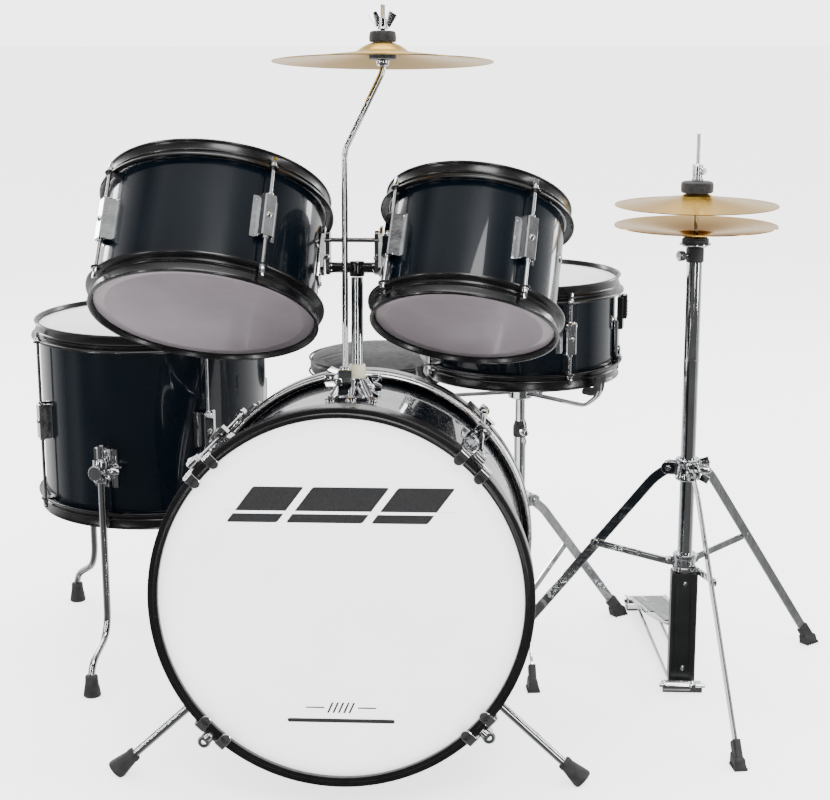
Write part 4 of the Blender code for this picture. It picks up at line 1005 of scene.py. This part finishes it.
def snare_stand_looks():
    """Stand tube with its ferrule, the tilter, the basket's arms with rubber grips, and the strainer."""
    place = at(*SNARE_SPOT)
    low, high = 0.044, 0.352
    stem = [(0, low), (0.012, low), (0.0132, low + 0.001), (0.0136, low + 0.003), (0.0136, low + 0.004),
        (0.008, low + 0.004), (0.008, 0.3), (0, 0.3)]
    lathe("snare_tube", stem, 64, CHROME, "snare_stand", place, "snare_stand_tube")
    lathe("snare_ferrule", outline([(0, 299), (8.6, 299), (9.4, 300), (9.6, 302), (9.6, 314), (8.6, 316),
        (7.4, 319), (7.4, 321), (0, 321)]), 48, RUBBER, "snare_stand", place)
    piece("snare_inner_tube", rod(0.0067, 0.32, high, 40), CHROME, "snare_stand", place)
    piece("snare_tube_wing", wing_bolt(0.022, 0.008), CHROME, "snare_stand",
        place @ at(0, 0, 0.308) @ turn(-70) @ at(0.009, 0) @ turn(90, "Y"))
    under = SNARE_UNDERSIDE
    hoop = SNARE.radius + HOOP_REACH
    hub = merged((turned(outline([(0, 1.9), (15, 1.9), (16.8, 3.5), (16.8, 20), (15, 21.8), (0, 21.8)]),
        48), at(0, 0, high)), (rod(0.005, 0.012, 0.025, 24), at(0, 0, high + 0.011) @ turn(90, "Y")),
        (sphere(0.0062), at(0.0255, 0, high + 0.011)))
    piece("snare_basket_hub", hub, CHROME, "snare_basket", place, "snare_basket")
    for number, azimuth in enumerate((76, 196, 316)):
        side = place @ turn(azimuth)
        path = bent([(0.008, 0, high + 0.01), (hoop - 0.02, 0, high + 0.01),
            (hoop + 0.004, 0, under - 0.01), (hoop + 0.0058, 0, under + 0.009)], 0.01, 6)
        arm = merged(strip(path, 0.012, 0.003, 0.0008), tube([p + Vector((0, 0, -0.0001)) for p in path],
            0.0026, 0, 16))
        piece(f"snare_arm_{number + 1}", arm, CHROME, "snare_basket", side)
        grip = strip(bent([(hoop - 0.018, 0, under - 0.0074), (hoop + 0.002, 0, under - 0.008),
            (hoop + 0.0056, 0, under + 0.016)], 0.009, 6), 0.018, 0.0078, 0.0026)
        ribs = [(slab((0.0018, 0.0158, 0.0016), 0.0005), at(hoop - 0.0125 + 0.0042 * k, 0,
            under - 0.0044)) for k in range(4)]
        piece(f"snare_grip_{number + 1}", merged(grip, *ribs), RUBBER, "snare_basket", side)
    # Strainer plate on the drum and its lever; the butt plate on the other side.
    seat = SNARE.place @ turn(-8) @ at(SNARE.radius, 0, 0)
    housing = merged((slab((0.006, 0.03, 0.05), 0.0022, 3), at(0.0029, 0, -0.016)),
        (rod(0.007, 0.0, 0.0085, 36), at(0, 0, -0.034) @ turn(90, "Y")),
        (rod(0.0025, -0.06, -0.03, 16), at(0.0044, 0, 0)), (rod(0.0058, -0.048, -0.041, 24),
        at(0.005, 0, 0)))
    piece("snare_strainer", housing, CHROME, "snare", seat)
    lever = merged((slab((0.0084, 0.025, 0.044), 0.0026, 3), at(0.0072, 0, 0.018)),
        (slab((0.0092, 0.0135, 0.033), 0.003, 3), at(0.0116, 0, 0.026)),
        *[(slab((0.0016, 0.011, 0.0016), 0.0006), at(0.0162, 0, 0.015 + 0.0045 * k)) for k in range(5)])
    piece("snare_lever_body", lever, GLOSS, "snare_lever", SNARE.place @ turn(-8)
        @ at(SNARE.radius + 0.0004, 0, 0), "snare_throw_off")
    butt = merged((slab((0.006, 0.028, 0.036), 0.0022, 3), at(0.003, 0, -0.02)),
        (slab((0.009, 0.02, 0.012), 0.002, 3), at(0.005, 0, -0.026)), (screw_head(0.003),
        at(0.0095, -0.006, -0.026) @ turn(90, "Y")), (screw_head(0.003),
        at(0.0095, 0.006, -0.026) @ turn(90, "Y")))
    piece("snare_butt", butt, CHROME, "snare", SNARE.place @ turn(172) @ at(SNARE.radius, 0, 0))
    # Snare wires under the lower head with their two end plates.
    bottom = -SNARE.half
    wires = []
    for k in range(14):
        y = -0.0195 + 0.003 * k
        path = [Vector((-0.088 + 0.176 * j / 40, y + 0.0007 * math.cos(j * 2.2),
            bottom + 0.0046 + 0.0007 * math.sin(j * 2.2))) for j in range(41)]
        wires.append(tube(path, 0.0004, 0, 6))
    piece("snare_wires", merged(*wires), CHROME, "snare", SNARE.place @ turn(-8))
    ends = merged(*[(slab((0.012, 0.046, 0.0014), 0.0005), at(side * 0.092, 0,
        bottom + 0.0046)) for side in (-1, 1)])
    piece("snare_wire_plates", ends, CHROME, "snare", SNARE.place @ turn(-8))
    straps = merged(*[strip([(side * 0.097, 0, bottom + 0.0046), (side * 0.124, 0, bottom + 0.002)], 0.018,
        0.0005, 0.0002) for side in (-1, 1)])
    piece("snare_wire_straps", straps, INK, "snare", SNARE.place @ turn(-8))


snare_stand_looks()


# ---------------------------------------------------------------------- the hi-hat
HIHAT_SEAT, LOWER_RIM, UPPER_RIM = 0.597, 0.612, 0.638
CUP_TOP = UPPER_RIM + 0.015


def hihat_looks():
    place = at(*HIHAT_SPOT)
    top = HIHAT_SEAT - 0.0004
    tube_shape = [(0.0062, 0.152), (0.0095, 0.15), (0.0095, top - 0.029), (0.0062, top - 0.029)]
    lathe("hihat_tube", tube_shape, 72, CHROME, "hihat_stand", place, "hihat_frame")
    socket = outline([(6.2, -30), (10.2, -30), (11.2, -29), (11.2, -13), (10.4, -11.6), (6.2, -11.6)], 0,
        top)
    lathe("hihat_socket", socket, 56, RUBBER, "hihat_stand", place)
    disc = outline([(6.2, -11.8), (12, -11.6), (18.6, -8.6), (19.8, -7.4), (19.8, -6.4), (18, -6),
        (6.2, -6)], 0, top)
    lathe("hihat_seat_disc", disc, 64, CHROME, "hihat_stand", place)
    felt = outline([(6.2, -6.1), (15.8, -6.1), (17, -5), (16.8, -1), (15.6, 0), (6.2, 0)], 0, top)
    lathe("hihat_seat_felt", felt, 56, FELT, "hihat_stand", place)
    knob = merged((rod(0.0022, 0.008, 0.018, 16), turn(90, "Y")), (turned(outline([(0, 17), (5.8, 17),
        (6.6, 18), (6.6, 24), (5.6, 25), (0, 25.2)]), 12), turn(90, "Y")))
    piece("hihat_tilt_bolt", knob, DARK, "hihat_stand", place @ at(0, 0, top - 0.021) @ turn(-150))
    lathe("hihat_tube_clamp", outline([(9.4, 440), (10.1, 440.4), (10.1, 441.6), (9.4, 442)]), 56, CHROME,
        "hihat_stand", place)
    # Channel, base and the pedal's radius rods.
    front, low, high = -0.013, 0.01, 0.158
    channel = bmesh.new()
    half, wall = 0.017, 0.0028
    edge = [(-half, 0.013), (-half, front + 0.002), (-half + 0.002, front), (half - 0.002, front),
        (half, front + 0.002), (half, 0.013), (half - wall, 0.013), (half - wall, front + wall),
        (-half + wall, front + wall), (-half + wall, 0.013)]
    rows = [[channel.verts.new((x, y, z)) for x, y in edge] for z in (low, high)]
    close(channel, rows)
    cap = slab((0.0335, 0.0255, 0.0076), 0.0014)
    ribs = [(slab((0.003, 0.0014, 0.118), 0.0006), at(x, front - 0.0004, 0.086)) for x in (-0.01, 0.01)]
    piece("hihat_channel", merged(channel, (cap, at(0, 0, high - 0.0022)), *ribs), STEEL, "hihat_stand",
        place)
    repeated("hihat_channel_screw", screw_head(0.0038), CHROME, "hihat_stand",
        [place @ at(0, front - 0.0002, z) @ turn(90, "X") for z in (0.146, 0.03)])
    barrel = [(0, -0.023)] + [(0.0066 + (0.0007 if k % 2 else 0), -0.023 + 0.0022 * k)
        for k in range(17)] + [(0, 0.0122)]
    nut = turned(outline([(0, 0), (6.2, 0), (6.2, 3.6), (5.4, 4.6), (0, 4.6)]), 6)
    base = merged((slab((0.052, 0.012, 0.008), 0.0016), at(0, front - 0.008, 0.0046)),
        (slab((0.052, 0.014, 0.008), 0.0016), at(0, front + 0.003, 0.0045)),
        (turned(barrel, 32), at(-0.002, front - 0.0105, 0.0095) @ turn(90, "Y")),
        (nut, at(0.0125, front - 0.0105, 0.0095) @ turn(90, "Y")), (rod(0.0028, -0.03, 0.03, 20),
        at(0, front - 0.0105, 0.0095) @ turn(90, "Y")))
    piece("hihat_base_bars", base, CHROME, "hihat_stand", place)
    heel = KIT @ Vector((0.392, 0.668, 0))
    aim = at(heel.x, heel.y) @ turn(math.degrees(math.atan2(HIHAT_SPOT[0] - heel.x,
        heel.y - HIHAT_SPOT[1])))
    rods = []
    for side in (-1, 1):
        rods.append(tube([aim @ Vector((side * 0.012, 0, 0.0024)), Vector((HIHAT_SPOT[0] + side * 0.012,
            HIHAT_SPOT[1] + front, 0.0024))], 0.0022, 0, 20))
    piece("hihat_radius_rods", merged(*rods), CHROME, "hihat_stand")
    heel_plate = merged((slab((0.06, 0.02, 0.003), 0.001), at(0, 0, 0.0016)),
        *[(slab((0.0022, 0.016, 0.019), 0.0008), at(side * 0.0296, 0, 0.0102)) for side in (-1, 1)],
        *[(turned(outline([(0, 0), (5.2, 0), (4.8, 2.2), (0, 2.6)]), 6),
        at(side * 0.0306, 0, 0.014) @ turn(side * 90, "Y")) for side in (-1, 1)])
    piece("hihat_heel_plate", heel_plate, CHROME, "hihat_stand", aim)
    # Pull rod, its link, and the clutch over the upper cymbal.
    lower_rod = rod(0.0031, 0.076, CUP_TOP + 0.036, 32)
    upper_rod = rod(0.0026, CUP_TOP + 0.02, 0.727, 28, 0.001)
    piece("pull_rod_bar", merged(lower_rod, upper_rod), CHROME, "hihat_rod", place, "hihat_pull_rod")
    washer = outline([(3.4, 0.5), (18.6, 0.5), (20, 1.8), (20.2, 10), (19.6, 12.8), (18, 14), (3.4, 14)])
    lathe("clutch_felt", washer, 56, FELT, "hihat_rod", place @ at(0, 0, CUP_TOP))
    under = outline([(3.4, -12), (10, -12), (11, -10.8), (11, -3.4), (10, -2.6), (3.4, -2.6)])
    lathe("clutch_lower_felt", under, 48, FELT, "hihat_rod", place @ at(0, 0, CUP_TOP))
    sleeve = outline([(2.8, 14), (7, 14), (7.2, 14.6), (7.2, 18), (6.2, 18.8), (6.2, 22.2), (7, 23),
        (7, 34.2), (6.2, 35), (2.8, 35)])
    lathe("clutch_sleeve", sleeve, 40, CHROME, "hihat_rod", place @ at(0, 0, CUP_TOP))
    wing = place @ at(0, 0, CUP_TOP + 0.028) @ turn(-64) @ at(0.0062, 0) @ turn(90, "Y")
    piece("clutch_bolt", merged(rod(0.0022, 0, 0.005, 16), turned(outline([(0, 4), (4, 4), (4.4, 4.8),
        (4.4, 7.8), (3.8, 8.6), (0, 8.6)]), 18)), CHROME, "hihat_rod", wing)
    steps = outline([(6.5, 15), (11, 14.6), (16, 13.2), (21.5, 10.8), (25, 9.8), (40, 8), (70, 3.8),
        (90, 1.4), (101.6, 0.1)])
    cymbal("hihat_lower", "hat_bottom", place @ at(0, 0, LOWER_RIM) @ turn(180, "X"), steps,
        "hihat_bottom_cymbal")
    cymbal("hihat_upper", "hat_top", place @ at(0, 0, UPPER_RIM), steps, "hihat_top_cymbal")


hihat_looks()


RIB_PITCH = 0.0085


def footboard(prefix, body, stands_for, heel, toe, across, width):
    """Cast plate with raised ribs across it and a rib along each side; Z of its frame is the plate's normal."""
    heel, toe = Vector(heel), Vector(toe)
    run = (toe - heel).normalized()
    across = Vector(across).normalized()
    up = across.cross(run)
    length = (toe - heel).length
    place = framed(across, run, up, heel)
    edge = [(-width / 2 + 0.004, 0.0), (width / 2 - 0.004, 0.0), (width / 2, 0.006),
        (width / 2, length * 0.62), (width * 0.36, length - 0.008), (width * 0.24, length),
        (-width * 0.24, length), (-width * 0.36, length - 0.008), (-width / 2, length * 0.62),
        (-width / 2, 0.006)]
    plate = bmesh.new()
    close(plate, [[plate.verts.new((x, y, z)) for x, y in edge] for z in (-0.0018, 0.0016)])
    bmesh.ops.bevel(plate, geom=plate.edges[:], offset=0.0006, segments=2, affect="EDGES")
    ribs = []
    count = int((length - 0.03) / RIB_PITCH)
    for k in range(count):
        y = 0.012 + k * (length - 0.026) / count
        reach = width * (0.8 if y < length * 0.62 else 0.62)
        ribs.append((slab((reach, 0.0026, 0.0016), 0.0006), at(0, y, 0.002)))
    for side in (-1, 1):
        ribs.append((slab((0.0022, length * 0.58, 0.003), 0.0008), at(side * (width / 2 - 0.0018),
            length * 0.32, 0.0014)))
    piece(prefix + "_plate", merged(plate, *ribs), CHROME, body, place, stands_for)


def hihat_pedal_looks():
    toe = Vector((HIHAT_SPOT[0], HIHAT_SPOT[1] + 0.033, 0.074))
    heel = KIT @ Vector((0.392, 0.668, 0.014))
    run = toe - heel
    across = Vector((run.y, -run.x, 0)).normalized()
    up = across.cross(run.normalized())
    footboard("hihat_board", "hihat_board", "hihat_footboard", heel + up * 0.004, toe, across, 0.054)
    hinge = merged(*[tube([heel + across * a, heel + across * b], 0.006, 0, 28) for a,
        b in ((-0.0275, -0.01), (-0.0092, 0.0092), (0.01, 0.0275))])
    piece("hihat_board_hinge", hinge, CHROME, "hihat_board")
    strap = swept(bent([toe + Vector((0, 0.004, -0.001)), toe + Vector((0, -0.012, 0.006)),
        Vector((HIHAT_SPOT[0], HIHAT_SPOT[1] + 0.0095, 0.084))], 0.006, 5),
        flat_section(0.012, 0.0016, 0.0004), (1, 0, 0))
    piece("hihat_strap", strap, RUBBER, "hihat_board")


hihat_pedal_looks()


# -------------------------------------------------------------------- bass pedal
def bass_pedal_looks():
    x, post_y, pivot_z = -0.022, 0.409, 0.172
    origin = KIT @ at(x, post_y)
    base = merged((slab((0.056, 0.28, 0.0036), 0.0012), at(0, 0.11, 0.0022)),
        (slab((0.06, 0.022, 0.011), 0.0026, 3), at(0, 0, 0.0062)), (slab((0.054, 0.014, 0.0116), 0.002, 3),
        at(0, 0.256, 0.0062)), *[(slab((0.048, 0.003, 0.0012), 0.0005),
        at(0, 0.05 + 0.022 * k, 0.0044)) for k in range(8)])
    piece("pedal_base", base, STEEL, "bass_drum", origin, "pedal_frame")
    clamp = merged((slab((0.03, 0.042, 0.006), 0.0014), at(0, -0.03, 0.007)),
        (slab((0.026, 0.006, 0.012), 0.0014), at(0, -0.048, 0.008)))
    piece("pedal_clamp", clamp, CHROME, "bass_drum", origin)
    for side, name in ((-1, "left"), (1, "right")):
        post = merged((slab((0.0086, 0.02, pivot_z - 0.006), 0.0026, 3), at(0, 0, (pivot_z - 0.002) / 2)),
            (rod(0.011, -0.0043, 0.0043, 40), at(0, 0, pivot_z) @ turn(90, "Y")),
            (slab((0.0094, 0.006, pivot_z * 0.62), 0.0012), at(0, 0, pivot_z * 0.48)))
        piece(f"pedal_post_{name}", post, CHROME, "bass_drum", origin @ at(side * 0.031, 0, 0))
        cap = turned(outline([(4.3, -4.4), (8.2, -4.4), (8.8, 4), (7, 5.6), (4.3, 5.6)]), 32)
        piece(f"pedal_bearing_{name}", cap, STEEL, "bass_drum", origin @ at(side * 0.0312, 0,
            pivot_z) @ turn(side * 90, "Y"))
    turns, steps = 13, 14
    spring = []
    for k in range(turns * steps + 1):
        a = 2 * math.pi * k / steps
        rise = 0.07 * k / (turns * steps)
        spring.append(Vector((0.0395 + 0.0036 * math.cos(a), 0.0036 * math.sin(a), 0.06 + rise)))
    eyes = merged(tube(spring, 0.0007, 0, 8), tube([(0.0395, 0, 0.022), (0.0395, 0, 0.061)], 0.0013, 0, 12),
        tube([(0.0395, 0, 0.129), (0.0395, 0, 0.158)], 0.0013, 0, 12))
    piece("pedal_spring", eyes, CHROME, "bass_drum", origin)
    piece("pedal_spring_lug", slab((0.012, 0.008, 0.005), 0.0012), CHROME, "bass_drum",
        origin @ at(0.037, 0, 0.02))
    heel, toe = origin @ Vector((0, 0.256, 0.0185)), origin @ Vector((0, 0.02, 0.079))
    footboard("pedal_board", "pedal_board", "pedal_footboard", heel, toe, (-1, 0, 0), 0.05)
    hinge = merged(*[tube([heel + Vector((a, 0, -0.0005)), heel + Vector((b, 0, -0.0005))], 0.0052, 0,
        28) for a, b in ((-0.0258, -0.0092), (-0.0084, 0.0084), (0.0092, 0.0258))])
    piece("pedal_board_hinge", hinge, CHROME, "pedal_board")
    links = []
    count = 13
    for k in range(count):
        low, high = Vector((0, 0.021, 0.081)), Vector((0, 0.019, pivot_z - 0.002))
        spot = low.lerp(high, (k + 0.5) / count)
        links.append((slab((0.003 if k % 2 else 0.0046, 0.0036, 0.0078), 0.001), at(*spot)))
    piece("pedal_chain", merged(*links), CHROME, "pedal_board", origin)
    # Shaft, cam, hub, stem and the round felt beater.
    hub = origin @ at(0, 0, pivot_z)
    shaft = merged((rod(0.0041, -0.038, 0.038, 32), turn(90, "Y")), slab((0.018, 0.016, 0.016), 0.003, 3),
        (rod(0.012, -0.0034, 0.0034, 40), at(0, 0.01, -0.004) @ turn(90, "Y")),
        (slab((0.006, 0.009, 0.009), 0.0014), at(0.038, 0, 0)), (rod(0.0022, 0.006, 0.015, 16),
        turn(60, "X")))
    piece("beater_shaft", shaft, DARK, "beater", hub, "pedal_beater")
    stem_top = Vector((0, 0.028, 0.108))
    direction = stem_top.normalized()
    piece("beater_stem", tube([direction * 0.004, stem_top + direction * 0.018], 0.0029, 0, 24), CHROME,
        "beater", hub)
    lean = hub @ Matrix.Translation(stem_top) @ turn(math.degrees(math.atan2(stem_top.y, stem_top.z)) * -1,
        "X")
    felt = [(0, -0.0185)] + [(0.0205 * math.cos(a) ** 0.7, 0.0185 * math.sin(a))
        for a in (-math.pi / 2 + math.pi * k / 24 for k in range(1, 24))] + [(0, 0.0185)]
    lathe("beater_felt", felt, 56, CREAM_FELT, "beater", lean)


bass_pedal_looks()


# -------------------------------------------------------------------- the throne
CUSHION_RADIUS = 0.111


def throne_looks():
    spot = KIT @ Vector((-0.018, 0.865, 0))
    place = at(spot.x, spot.y)
    low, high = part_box("throne_seat")
    under, top = low.z, high.z
    post = [(0, 0.06), (0.014, 0.06), (0.015, 0.0612), (0.015, 0.104), (0.014, 0.1055), (0.0095, 0.106),
        (0.0095, under - 0.01), (0, under - 0.01)]
    lathe("throne_post", post, 64, CHROME, "throne", place, "throne_base")
    flange = outline([(0, -8.5), (15, -12), (29, -6.4), (30, -5.2), (30, -1.4), (29, -0.6), (0, -0.6)], 0,
        under)
    lathe("throne_flange", flange, 64, STEEL, "throne", place)
    ring = outline([(9.8, 172), (15.5, 171.5), (16.6, 173), (16.6, 178), (15, 180), (15, 194), (16.6, 196),
        (16.6, 201), (15.5, 202.2), (9.8, 202)])
    lathe("throne_collar", ring, 64, CHROME, "throne", place)
    piece("throne_wing", wing_bolt(0.024, 0.009), CHROME, "throne", place @ at(0, 0,
        0.187) @ turn(30) @ at(0.015, 0) @ turn(90, "Y"))
    for number, azimuth in enumerate((90, 210, 330)):
        side = place @ turn(azimuth)
        path = bent([(0.012, 0, 0.19), (0.03, 0, 0.176), (0.164, 0, 0.012)], 0.01, 6)
        leg = merged(strip(path, 0.013, 0.0034, 0.0008), tube([p + Vector((0.0002, 0,
            0.0002)) for p in path[1:]], 0.0025, 0, 12), (turned(outline([(0, -8.5), (4.2, -8.5),
            (4.2, 8.5), (0, 8.5)]), 24), at(0.088, 0, 0.106) @ turn(90, "X")))
        piece(f"throne_leg_{number + 1}", leg, CHROME, "throne", side)
        for way, label in ((-1, "a"), (1, "b")):
            brace = merged(strip([(0.008, way * 0.0082, 0.082), (0.092, way * 0.0082, 0.104)], 0.002, 0.01,
                0.0006), (rod(0.005, -0.001, 0.001, 24), at(0.092, way * 0.0082, 0.104) @ turn(90, "X")))
            piece(f"throne_brace_{number + 1}{label}", brace, CHROME, "throne", side)
        shoe = merged((slab((0.026, 0.019, 0.014), 0.004, 3), at(0.17, 0, 0.0071)),
            (slab((0.016, 0.016, 0.012), 0.0036, 3), at(0.164, 0, 0.015)),
            *[(slab((0.0016, 0.02, 0.0046), 0.0006), at(0.16 + 0.005 * k, 0, 0.0034)) for k in range(5)])
        piece(f"throne_shoe_{number + 1}", shoe, RUBBER, "throne", side)
    hub = outline([(14.5, 70), (19, 70.5), (19.6, 72), (19.6, 90), (18.6, 91.2), (14.5, 91.5)])
    lathe("throne_hub", hub, 56, CHROME, "throne", place)
    # Cushion: a rounded disc that is blown up a little as cloth, with piping round it.
    radius = CUSHION_RADIUS
    shape = [(0, under + 0.008), (radius - 0.012, under + 0.0075), (radius - 0.004, under + 0.0105),
        (radius - 0.001, under + 0.018), (radius - 0.001, top - 0.015), (radius - 0.005, top - 0.0085),
        (radius - 0.014, top - 0.005), (radius * 0.5, top - 0.003), (0, top - 0.003)]
    cushion = piece("throne_cushion", turned(shape, 96), VINYL, "throne_cushion", place, "throne_seat", 70)
    blow_up(cushion, under + 0.006, top + 0.004, radius + 0.002)
    cushion.data.shade_smooth()
    board = outline([(None, 0.4), (-9, 0.4), (-7, 1.6), (-7, 8.5), (None, 8.5)], radius, under)
    lathe("throne_seat_board", board, 96, INK, "throne_cushion", place)
    for name, height, reach in (("upper", top - 0.011, radius - 0.0008),
            ("lower", under + 0.013, radius - 0.0002)):
        loop = bmesh.new()
        rows = []
        for k in range(144):
            around = 2 * math.pi * k / 144
            out = Vector((math.cos(around), math.sin(around), 0))
            centre = out * reach + Vector((0, 0, height))
            rows.append([loop.verts.new(centre + (out * math.cos(a) + Vector((0, 0,
                1)) * math.sin(a)) * 0.0017) for a in (2 * math.pi * j / 12 for j in range(12))])
        for low_row, high_row in zip(rows, rows[1:] + rows[:1]):
            for j in range(12):
                following = (j + 1) % 12
                loop.faces.new((low_row[j], low_row[following], high_row[following], high_row[j]))
        piece(f"throne_piping_{name}", loop, VINYL, "throne_cushion", place)
    for k in range(4):
        a = math.radians(45 + 90 * k)
        piece(f"throne_staple_{k + 1}", screw_head(0.0038), CHROME, "throne_cushion",
            place @ at(0.06 * math.cos(a), 0.06 * math.sin(a), under + 0.0004) @ turn(180, "X"))


CLOTH_VOXEL, CLOTH_FRAMES, CLOTH_SWELL = 0.0045, 20, 0.007


def blow_up(cushion, floor_z, ceiling_z, reach):
    """Let the cushion's skin swell as cloth, then hold it inside the seat's own size."""
    probe = bpy.data.objects.new("cushion_probe", cushion.data.copy())
    link(probe)
    probe.matrix_world = cushion.matrix_world.copy()
    remesh = probe.modifiers.new("remesh", "REMESH")
    remesh.mode, remesh.voxel_size = "VOXEL", CLOTH_VOXEL
    bpy.context.view_layer.update()
    graph = bpy.context.evaluated_depsgraph_get()
    mesh = bpy.data.meshes.new_from_object(probe.evaluated_get(graph))
    probe.modifiers.clear()
    probe.data = mesh
    rest = np.array([v.co for v in mesh.vertices], float)
    cloth = probe.modifiers.new("cloth", "CLOTH")
    settings = cloth.settings
    settings.quality, settings.mass = 5, 0.35
    settings.use_pressure, settings.uniform_pressure_force = True, 4.0
    settings.tension_stiffness = settings.compression_stiffness = 25
    settings.shear_stiffness, settings.bending_stiffness = 12, 2.0
    settings.effector_weights.gravity = 0
    scene = bpy.context.scene
    for number in range(1, CLOTH_FRAMES + 1):
        scene.frame_set(number)
    graph = bpy.context.evaluated_depsgraph_get()
    final = bpy.data.meshes.new_from_object(probe.evaluated_get(graph))
    scene.frame_set(1)
    swollen = np.array([v.co for v in final.vertices], float)
    moved = swollen - rest
    distance = np.linalg.norm(moved, axis=1, keepdims=True)
    moved *= np.minimum(1.0, CLOTH_SWELL / np.maximum(distance, 1e-9))
    placed = rest + moved
    placed[:, 2] = np.clip(placed[:, 2], floor_z, ceiling_z)
    around = np.linalg.norm(placed[:, :2], axis=1)
    shrink = np.minimum(1.0, reach / np.maximum(around, 1e-9))
    placed[:, :2] *= shrink[:, None]
    for vert, point in zip(final.vertices, placed):
        vert.co = point
    bpy.data.objects.remove(probe, do_unlink=True)
    final.materials.clear()
    final.materials.append(VINYL)
    cushion.data = final
    soft = cushion.modifiers.new("round", "SUBSURF")
    soft.levels = soft.render_levels = 1
    bpy.context.view_layer.update()
    cushion.data = bpy.data.meshes.new_from_object(cushion.evaluated_get(bpy.context.evaluated_depsgraph_get()))
    cushion.modifiers.clear()


throne_looks()


# --------------------------------------------------------------- stage and lights
FLOOR_GLOW, WORLD_LIGHT, WORLD_SEEN, WORLD_MIRRORED = 2.0, 1.9, 4.2, 1.8
FLOOR_SIZE = 30


def stage():
    floor = bpy.data.objects.new("floor", bpy.data.meshes.new("floor"))
    shape = bmesh.new()
    bmesh.ops.create_grid(shape, x_segments=1, y_segments=1, size=FLOOR_SIZE)
    shape.to_mesh(floor.data)
    shape.free()
    surface = material("studio_floor", 0.9)
    shade(surface, grain(surface, 3, 4), (0.9, 0.9, 0.905), (0.92, 0.92, 0.925))
    glow = surface.node_tree.nodes["Principled BSDF"]
    glow.inputs["Emission Color"].default_value = (1, 1, 1, 1)
    glow.inputs["Emission Strength"].default_value = FLOOR_GLOW
    floor.data.materials.append(surface)
    link(floor)
    floor.location.z = -0.0002
    floor.visible_glossy = False


def world_light():
    """White to the eye and soft in diffuse light; in reflections a dark room with a white backdrop and top."""
    world = bpy.data.worlds.new("studio")
    bpy.context.scene.world = world
    world.use_nodes = True
    tree = world.node_tree
    tree.nodes.clear()
    output, path, mix = node(tree, "OutputWorld"), node(tree, "LightPath"), node(tree, "MixShader")
    plain = node(tree, "Background", Color=(1, 1, 1, 1))
    mirrored = node(tree, "Background", Strength=WORLD_MIRRORED)
    seen = node(tree, "MapRange", To_Min=WORLD_LIGHT, To_Max=WORLD_SEEN)
    tree.links.new(path.outputs["Is Camera Ray"], seen.inputs["Value"])
    tree.links.new(seen.outputs["Result"], plain.inputs["Strength"])
    split = node(tree, "SeparateXYZ")
    tree.links.new(node(tree, "TexCoord").outputs["Generated"], split.inputs["Vector"])

    def banded(axis, stops):
        ramp = node(tree, "ValToRGB")
        lift = node(tree, "MapRange", From_Min=-1, From_Max=1)
        tree.links.new(split.outputs[axis], lift.inputs["Value"])
        tree.links.new(lift.outputs["Result"], ramp.inputs["Fac"])
        for position, _ in stops[2:]:
            ramp.color_ramp.elements.new((position + 1) / 2)
        for element, (position, value) in zip(ramp.color_ramp.elements, stops):
            element.position, element.color = (position + 1) / 2, (value, value, value, 1)
        return ramp.outputs["Color"]

    depth = banded("Y", ((-1, 0.01), (-0.6, 0.01), (-0.4, 0.03), (-0.24, 0.26), (0.0, 0.06), (0.35, 0.5),
        (1, 0.9)))
    height = banded("Z", ((-1, 0.1), (-0.7, 0.05), (-0.2, 0.05), (0.3, 0.0), (0.62, 0.04), (0.8, 0.4),
        (1, 0.8)))
    both = node(tree, "VectorMath")
    tree.links.new(depth, both.inputs[0])
    tree.links.new(height, both.inputs[1])
    tree.links.new(both.outputs["Vector"], mirrored.inputs["Color"])
    tree.links.new(path.outputs["Is Glossy Ray"], mix.inputs["Fac"])
    tree.links.new(plain.outputs["Background"], mix.inputs[1])
    tree.links.new(mirrored.outputs["Background"], mix.inputs[2])
    tree.links.new(mix.outputs["Shader"], output.inputs["Surface"])


def panel(name, location, target, size, power):
    """Softbox aimed at a point."""
    light = bpy.data.lights.new(name, "AREA")
    light.shape, light.size, light.size_y, light.energy = "RECTANGLE", size[0], size[1], power
    lamp = bpy.data.objects.new(name, light)
    link(lamp)
    away = Vector(location) - Vector(target)
    lamp.location, lamp.rotation_euler = location, away.to_track_quat("Z", "Y").to_euler()


def lights():
    panel("key", (0.6, -3.0, 3.2), (-0.05, -0.15, 0.4), (1.6, 1.2), 70)
    panel("front_strip", (0.85, -3.6, 0.9), (0, -0.2, 0.5), (0.34, 1.9), 16)
    panel("left_strip", (-2.6, -2.2, 1.1), (-0.1, 0, 0.5), (0.22, 2.0), 24)
    panel("left_thin", (-1.6, -3.2, 1.2), (0, 0, 0.5), (0.05, 1.9), 9)
    panel("right_strip", (2.7, -1.4, 1.1), (0.1, 0, 0.5), (0.3, 2.2), 30)
    panel("rim_left", (-2.4, 1.6, 1.3), (-0.1, 0, 0.5), (0.5, 2.0), 40)
    panel("rim_right", (2.4, 1.8, 1.3), (0.1, 0, 0.5), (0.5, 2.0), 40)
    panel("top", (0.0, 0.2, 3.0), (0, 0, 0.4), (2.0, 1.6), 60)


FOCAL_LENGTH, SENSOR_WIDTH = 75.47, 36.0
EYE, EYE_DEGREES = (0.1052, -2.3235, 0.893), (76.91, 0.15, 3.03)


def camera():
    view = bpy.data.cameras.new("front_view")
    view.lens, view.sensor_width, view.clip_end = FOCAL_LENGTH, SENSOR_WIDTH, 60.0
    eye = bpy.data.objects.new("front_view", view)
    eye.location = EYE
    eye.rotation_euler = [math.radians(angle) for angle in EYE_DEGREES]
    link(eye)
    bpy.context.scene.camera = eye


stage()
world_light()
lights()
camera()
